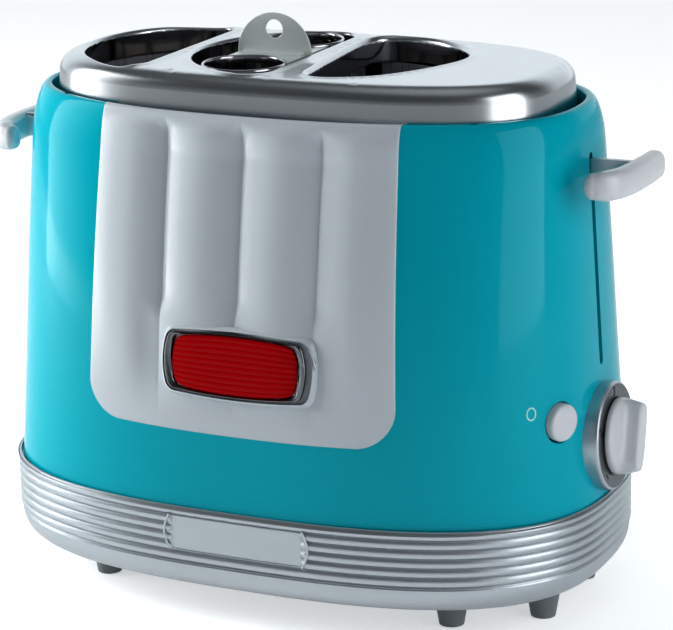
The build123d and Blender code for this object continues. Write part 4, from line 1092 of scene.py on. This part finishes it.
# ------------------------------------------------------------------ dial and knob
TILT = math.atan(0.06)
D_AX = Vector((math.cos(TILT), 0, math.sin(TILT)))
D_O = Vector((131.2 - 0.06 * (74.0 - 52.6), -1.5, 74.0))
D_X = Vector((0, 1, 0))
D_UP = D_AX.cross(D_X)
prof = [(8.0, -1.0), (8.0, 5.0), (8.6, 5.25), (15.8, 5.3), (16.3, 5.5), (21.5, 5.5), (21.85, 5.42), (22.15, 5.2), (22.38, 4.85), (22.48, 4.4), (22.5, 3.8), (22.5, 2.0), (22.5, -4.5), (20.0, -4.9)]
v, f = lathe(prof, 128, close=True)
ids = [1 if (i // 128) in (2, 3, 4) else 0 for i in range(len(f))]
dial = new_piece("dial_disc", placed(v, D_O, D_X, D_AX), f, [M_silver, M_dial], "housing", ("dial_ring",), sharp=35, mat_ids=ids)
flip_out(dial)

knob_rows = []
for s, l, w, n in (
    (5.9, 15.6, 15.6, 2.0), (6.1, 15.9, 15.9, 2.0), (6.6, 16.0, 16.0, 2.0), (7.6, 16.0, 16.0, 2.0), (8.3, 15.9, 15.6, 2.0),
    (8.8, 15.8, 14.4, 2.05), (9.2, 15.7, 12.6, 2.15), (9.7, 15.6, 10.6, 2.3), (10.4, 15.5, 8.6, 2.6), (11.4, 15.3, 7.0, 3.0),
    (12.8, 15.1, 5.95, 3.4), (14.5, 14.8, 5.35, 3.7), (16.4, 14.4, 5.0, 3.8), (17.6, 14.1, 4.85, 3.8), (18.3, 13.8, 4.6, 3.7),
    (18.7, 13.4, 4.2, 3.5), (18.95, 12.8, 3.5, 3.3), (19.05, 11.8, 2.4, 3.0),
):
    knob_rows.append((s if s < 8.8 else 8.8 + (s - 8.8) * (17.0 - 8.8) / (19.05 - 8.8), l, w, n))
m = 96
v = []
for s, l, w, n in knob_rows:
    for j in range(m):
        t = 2 * pi * j / m
        c, sn = math.cos(t), math.sin(t)
        r = (abs(c / w) ** n + abs(sn / l) ** n) ** (-1 / n)
        v.append((r * c, r * sn, s))
f = grid_faces(len(knob_rows), m) + [tuple(range(m))[::-1], tuple((len(knob_rows) - 1) * m + j for j in range(m))]
TURN = math.radians(22)  # the grip as it stands in the picture, its upper end to the rear
knob = new_piece("knob_grip", placed(v, D_O, D_X * math.cos(TURN) - D_UP * math.sin(TURN), D_AX), f, M_knob, "knob", ("timer_knob",), sharp=60)
flip_out(knob)


def lettering(name, text, size, origin, right, out, mat, body, thick=0.12):
    cu = bpy.data.curves.new(name, "FONT")
    cu.body = text
    cu.size = size * MM
    cu.align_x, cu.align_y = "CENTER", "CENTER"
    cu.extrude = thick * MM / 2
    cu.materials.append(mat)
    tmp = bpy.data.objects.new(name, cu)
    scene.collection.objects.link(tmp)
    z = Vector(out).normalized()
    x = Vector(right).normalized()
    y = z.cross(x)
    tmp.matrix_world = Matrix.Translation(Vector(origin) * MM) @ Matrix((x, y, z)).transposed().to_4x4()
    dg = bpy.context.evaluated_depsgraph_get()
    dg.update()
    me = bpy.data.meshes.new_from_object(tmp.evaluated_get(dg))
    me.transform(tmp.matrix_world)
    bpy.data.objects.remove(tmp)
    ob = bpy.data.objects.new(name, me)
    scene.collection.objects.link(ob)
    attach(ob, body)
    return ob


for i, deg in enumerate((136, 70, 0, -70, -136)):
    t = math.radians(deg)
    up = D_UP * math.cos(t) - D_X * math.sin(t)
    stand = D_UP * math.cos(0.35 * t) - D_X * math.sin(0.35 * t)
    lettering("dial_figure_%d" % (i + 1), str(i + 1), 5.4, D_O + up * 18.9 + D_AX * 5.55, stand.cross(D_AX), D_AX, M_ink, "housing", 0.1)

# ------------------------------------------------------------------ button and its mark
prof = [(7.75, -11.5), (7.75, 1.6), (7.6, 2.15), (7.2, 2.65), (6.5, 2.95), (5.0, 3.2), (3.2, 3.36), (1.4, 3.44), (0.3, 3.46)]
v, f = lathe(prof, 96)
ob = new_piece("button_cap", placed(v, B_O, B_X, B_AXIS), f, M_knob, "button", ("stop_button",), sharp=60)
flip_out(ob)
OC = Vector((115.8, -48.7, 95.4))
oo = outward(*OC)
ox = Vector((-oo.y, oo.x, 0)).normalized()
oy = oo.cross(ox)
pts = []
for k in range(64):
    t = 2 * pi * k / 64
    q = OC + ox * (2.0 * math.cos(t)) + oy * (2.5 * math.sin(t))
    a, b, n = wall(q.z)
    k2 = (abs(q.x / a) ** n + abs(q.y / b) ** n) ** (-1 / n)
    pts.append((q.x * k2, q.y * k2, q.z))
tube("button_mark", pts, 0.36, M_mark, "housing", closed=True)

# ------------------------------------------------------------------ basket
BKX, BKY = -18.2, 27.0
RGX, RGY = -17.8, 28.8
for sgn, name in ((-1, "front"), (1, "rear")):
    prof = [(16.2, 222.0), (16.2, 224.4), (16.3, 224.9), (16.6, 225.25), (16.95, 225.35), (17.3, 225.2), (17.55, 224.7), (17.6, 224.0), (17.6, 222.4), (17.4, 222.0)]
    v, f = lathe(prof, 96, close=True)
    ob = new_piece("basket_ring_" + name, [(x + RGX, y + sgn * RGY, z) for x, y, z in v], f, M_ring, "basket", ("basket_rings",) if sgn < 0 else (), sharp=50)
    flip_out(ob)
# tab with its foot, hole and rounded edges
ring = []
for k in range(65):
    t = pi * k / 64
    ring.append((17.0 * math.cos(t), 17.0 * math.sin(t)))
ring = [(17.0, -1.2)] + ring + [(-17.0, -1.2)]
hole = [(4.0 * math.cos(2 * pi * k / 48), 10.2 + 4.0 * math.sin(2 * pi * k / 48)) for k in range(48)]
allp = ring + hole
cons = [(i, (i + 1) % len(ring)) for i in range(len(ring))]
cons += [(len(ring) + i, len(ring) + (i + 1) % 48) for i in range(48)]
res = delaunay_2d_cdt([Vector(p) for p in allp], cons, [], 0, 1e-6)
P2 = [tuple(p) for p in res[0]]
tri = []
for fc in res[2]:
    c = np.mean([P2[i] for i in fc], axis=0)[None, :]
    if inside(c, ring)[0] and not inside(c, hole)[0]:
        tri.append(tuple(fc))
TT = 0.6
v = [(x + BKX + 0.7, -TT, y + 224.2) for x, y in P2] + [(x + BKX + 0.7, TT, y + 224.2) for x, y in P2]
k = len(P2)
f = [fc[::-1] if False else fc for fc in tri] + [tuple(i + k for i in fc)[::-1] for fc in tri]
edges = {}
for fc in tri:
    for i in range(3):
        e = (fc[i], fc[(i + 1) % 3])
        edges[e] = 1
for (i, j) in edges:
    if (j, i) not in edges:
        f.append((j, i, i + k, j + k))
tab = new_piece("basket_tab", v, f, M_tab, "basket", ("basket_handle",))
flip_out(tab)
bevelled(tab, 0.25, 2, 50)
for pg in tab.data.polygons:
    if abs(pg.normal.y) > 0.995:
        pg.use_smooth = False
# bridge between the rings, cut round them
bridge = []
cons = []
ol = []
for sgn in (1, -1):
    arc = []
    t0 = math.asin(15.6 / 17.7)
    for k in range(33):
        t = -t0 + 2 * t0 * k / 32
        arc.append((RGX + 17.7 * math.sin(t), sgn * (RGY - 17.7 * math.cos(t))))
    if sgn < 0:
        arc = arc[::-1]
    ol += arc
ol = anticlockwise(ol)
v = [(x, y, 223.05) for x, y in ol] + [(x, y, 224.2) for x, y in ol]
m = len(ol)
f = [tuple(range(m))[::-1], tuple(range(m, 2 * m))] + [(j, (j + 1) % m, m + (j + 1) % m, m + j) for j in range(m)]
ob = new_piece("basket_bridge", v, f, M_tab, "basket", sharp=30)
bm = bmesh.new()
bm.from_mesh(ob.data)
bmesh.ops.triangulate(bm, faces=[fc for fc in bm.faces if len(fc.verts) > 4])
bm.to_mesh(ob.data)
bm.free()
flip_out(ob)
# folded foot of the tab with two spot welds
v, f = [], []
prof = [(-0.6, 225.9), (-0.7, 225.3), (-1.0, 224.9), (-1.6, 224.7), (-4.6, 224.65), (-4.8, 224.5), (-4.8, 224.2), (-0.2, 224.2), (-0.2, 225.9)]
for x in (-14.0, -13.6, 13.6, 14.0):
    for y, z in prof:
        v.append((x + BKX + 0.7, y, z))
m = len(prof)
f = grid_faces(4, m) + [tuple(range(m))[::-1], tuple(3 * m + j for j in range(m))]
ob = new_piece("basket_tab_foot", v, f, M_tab, "basket", sharp=40)
flip_out(ob)
for sx in (-9.0, 9.0):
    v, f = lathe([(1.1, 224.5), (1.1, 224.7), (0.8, 224.82), (0.3, 224.86)], 32)
    ob = new_piece("basket_weld_%s" % ("a" if sx < 0 else "b"), [(x + BKX + 0.7 + sx, y - 3.1, z) for x, y, z in v], f, M_tab, "basket", sharp=50)
    flip_out(ob)

# ------------------------------------------------------------------ return springs, one fixed mesh; the real ones shorten as the carriage goes down
v, f = [], []
COIL_R, WIRE_R, PITCH, TURNS, Z_END = 3.3, 0.55, 10.1, 12, 55.1
steps, ring = 20, 8
for cx, cy in ((112.5, 18.0), (-112.5, -18.0)):
    at = len(v)
    rise = PITCH / (2 * pi)
    length = math.hypot(COIL_R, rise)
    for k in range(TURNS * steps + 1):
        t = 2 * pi * k / steps
        out = Vector((math.cos(t), math.sin(t), 0))
        along = Vector((-COIL_R * math.sin(t), COIL_R * math.cos(t), rise)) / length
        up = along.cross(out)
        c = Vector((cx, cy, Z_END)) + out * COIL_R + Vector((0, 0, rise * t))
        for q in range(ring):
            w = 2 * pi * q / ring
            v.append(tuple(c + out * (WIRE_R * math.cos(w)) + up * (WIRE_R * math.sin(w))))
    n = TURNS * steps + 1
    f += [tuple(at + i for i in fc) for fc in grid_faces(n, ring)]
    f += [tuple(at + q for q in range(ring))[::-1], tuple(at + (n - 1) * ring + q for q in range(ring))]
ob = new_piece("return_spring_pair", v, f, M_polish, "housing", ("return_springs",), sharp=50)
flip_out(ob)
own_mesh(ob)

# ------------------------------------------------------------------ finishes for the CAD nodes
finish = {
    "feet": M_feet, "foot_pads": M_rubber, "bottom_plate": M_base, "base_screws": M_screw, "housing_screws": M_screw,
    "cover_shelf": M_plain, "tray_rails": M_plain, "crumb_tray": M_silver, "chassis_floor": M_plain, "bun_liner_left": M_well, "bun_liner_right": M_well,
    "sausage_end_walls": M_well, "heater_board_left": M_mica, "heater_board_right": M_mica, "heater_ribbons": M_ribbon,
    "heater_bridges": M_plain, "guard_wires": M_ring, "guide_rods": M_polish, "carriage_ring": M_plain, "carriage_bushes": M_bush,
    "bun_rack_left": M_well, "bun_rack_right": M_well, "sausage_platform": M_well, "lever_arms": M_plain, "return_springs": M_polish,
    "latch_armature": M_plain, "electromagnet_core": M_plain, "electromagnet_coil": M_copper, "timer_shaft": M_polish, "timer_body": M_black,
    "control_board": M_board, "board_bracket": M_plain, "microswitch": M_black, "switch_bracket": M_plain, "basket_wires": M_ring,
    "basket_floors": M_ring, "cord_gland": M_black, "terminal_block": M_black,
}
for name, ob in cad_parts.items():
    m = finish.get(name)
    if m is None:
        continue
    ob.data.materials.clear()
    ob.data.materials.append(m)
    if ob.material_slots:
        for s in ob.material_slots:
            s.material = m

# ------------------------------------------------------------------ floor, light, camera
bm = bmesh.new()
bmesh.ops.create_circle(bm, cap_ends=True, radius=9.0, segments=96)
me = bpy.data.meshes.new("floor")
bm.to_mesh(me)
bm.free()
floor = bpy.data.objects.new("floor", me)
scene.collection.objects.link(floor)
m, nt, b = material("floor_pale", (0.80, 0.81, 0.82), 0.6, spec=0.2)
n = noise(nt, coords(nt, (1, 1, 1)), 3.0, 2.0)
nt.links.new(tint(nt, n, (0.795, 0.80, 0.81), (0.81, 0.815, 0.825)), b.inputs["Base Color"])
b.inputs["Emission Color"].default_value = (0.97, 0.99, 1.0, 1)
# pale to the camera, dimmer where the plinth and the feet mirror it
lp = nt.nodes.new("ShaderNodeLightPath")
glow = nt.nodes.new("ShaderNodeMapRange")
glow.inputs["To Min"].default_value = 0.24
glow.inputs["To Max"].default_value = 0.58
nt.links.new(lp.outputs["Is Camera Ray"], glow.inputs["Value"])
nt.links.new(glow.outputs["Result"], b.inputs["Emission Strength"])
me.materials.append(m)

world = bpy.data.worlds.new("studio")
scene.world = world
world.use_nodes = True
wn = world.node_tree
bg = wn.nodes["Background"]
tc = wn.nodes.new("ShaderNodeTexCoord")
sep = wn.nodes.new("ShaderNodeSeparateXYZ")
wn.links.new(tc.outputs["Generated"], sep.inputs["Vector"])


def sky(stops):
    """Brightness by height, from the horizon up."""
    r = wn.nodes.new("ShaderNodeValToRGB")
    e = r.color_ramp.elements
    e[0].position, e[0].color = stops[0][0], (*[stops[0][1] * k for k in (0.95, 1.0, 1.03)], 1)
    e[1].position, e[1].color = stops[-1][0], (*[stops[-1][1] * k for k in (0.95, 1.0, 1.03)], 1)
    for pos, val in stops[1:-1]:
        q = e.new(pos)
        q.color = (*[val * k for k in (0.95, 1.0, 1.03)], 1)
    wn.links.new(sep.outputs["Z"], r.inputs["Fac"])
    return r.outputs["Color"]


# bright wall behind the object, dim room above and in front of it
behind = sky([(0.0, 1.0), (0.42, 1.0), (0.58, 0.85), (0.72, 0.15), (0.84, 0.14), (1.0, 0.42)])
before = sky([(0.0, 0.24), (0.22, 0.21), (0.5, 0.09), (0.84, 0.12), (1.0, 0.42)])
dot = wn.nodes.new("ShaderNodeVectorMath")
dot.operation = "DOT_PRODUCT"
dot.inputs[1].default_value = (-0.43, 0.90, 0.0)
wn.links.new(tc.outputs["Generated"], dot.inputs[0])
side = wn.nodes.new("ShaderNodeMapRange")
side.interpolation_type = "SMOOTHSTEP"
side.inputs["From Min"].default_value = 0.35
side.inputs["From Max"].default_value = 0.85
wn.links.new(dot.outputs["Value"], side.inputs["Value"])
mix = wn.nodes.new("ShaderNodeMix")
mix.data_type = "RGBA"
wn.links.new(side.outputs["Result"], mix.inputs[0])
wn.links.new(before, mix.inputs[6])
wn.links.new(behind, mix.inputs[7])
wn.links.new(mix.outputs[2], bg.inputs["Color"])
bg.inputs["Strength"].default_value = 1.15


def area(name, loc, target, size, power, color=(1, 1, 1), mirrored=True, fade=None):
    """Soft box; fade holds its brightness from one upright edge to the other."""
    la = bpy.data.lights.new(name, "AREA")
    la.shape = "RECTANGLE"
    la.size, la.size_y = size
    la.energy = power
    la.color = color
    if fade:
        la.use_nodes = True
        lt = la.node_tree
        em = lt.nodes["Emission"]
        geo = lt.nodes.new("ShaderNodeNewGeometry")
        sx = lt.nodes.new("ShaderNodeSeparateXYZ")
        rp = lt.nodes.new("ShaderNodeValToRGB")
        lt.links.new(geo.outputs["Parametric"], sx.inputs["Vector"])
        lt.links.new(sx.outputs["X"], rp.inputs["Fac"])
        e = rp.color_ramp.elements
        e[0].position, e[0].color = fade[0][0], (fade[0][1],) * 3 + (1,)
        e[1].position, e[1].color = fade[-1][0], (fade[-1][1],) * 3 + (1,)
        for pos, val in fade[1:-1]:
            q = e.new(pos)
            q.color = (val,) * 3 + (1,)
        lt.links.new(rp.outputs["Color"], em.inputs["Color"])
    ob = bpy.data.objects.new(name, la)
    scene.collection.objects.link(ob)
    ob.location = loc
    d = Vector(target) - Vector(loc)
    ob.rotation_euler = d.to_track_quat("-Z", "Y").to_euler()
    ob.visible_glossy = mirrored
    return ob


area("box_left", (-0.82, -0.28, 0.46), (0, 0.02, 0.46), (0.50, 0.90), 6.5, fade=((0.0, 1.0), (1.0, 0.0)))
area("box_right", (0.83, -0.20, 0.46), (0, 0.0, 0.46), (0.60, 0.90), 5.0, fade=((0.0, 0.6), (1.0, 1.0)))
area("key_soft", (-1.33, -0.30, 0.55), (0, 0, 0.12), (0.7, 0.9), 21.5, (1.0, 1.0, 0.97), mirrored=False)
area("right_soft", (1.15, 0.40, 0.50), (0, 0, 0.12), (0.9, 0.9), 1.0, mirrored=False)
area("top_soft", (0.0, 0.1, 1.6), (0, 0, 0.1), (1.5, 1.5), 2.6, mirrored=False)

az, elv, dist, roll = 0.44361, 0.27682, 1.20473, -0.0205
back = Vector((math.sin(az) * math.cos(elv), -math.cos(az) * math.cos(elv), math.sin(elv)))
right = Vector((math.cos(az), math.sin(az), 0))
upv = back.cross(right)
cr, sr = math.cos(roll), math.sin(roll)
r2 = right * cr + upv * sr
u2 = right * -sr + upv * cr
cam = bpy.data.cameras.new("camera")
cam.sensor_fit = "HORIZONTAL"
cam.sensor_width = 36.0
cam.lens = 2815.8 * 36.0 / 673.0
cam.shift_x = 18.48 / 673.0
cam.shift_y = -1.10 / 673.0
cam.clip_start, cam.clip_end = 0.05, 60.0
co = bpy.data.objects.new("camera", cam)
scene.collection.objects.link(co)
mat = Matrix((r2, u2, back)).transposed().to_4x4()
mat.translation = back * dist + Vector((0, 0, 0.112))
co.matrix_world = mat
scene.camera = co

scene.view_settings.view_transform = "Standard"
scene.view_settings.look = "High Contrast"
scene.view_settings.exposure = -0.6
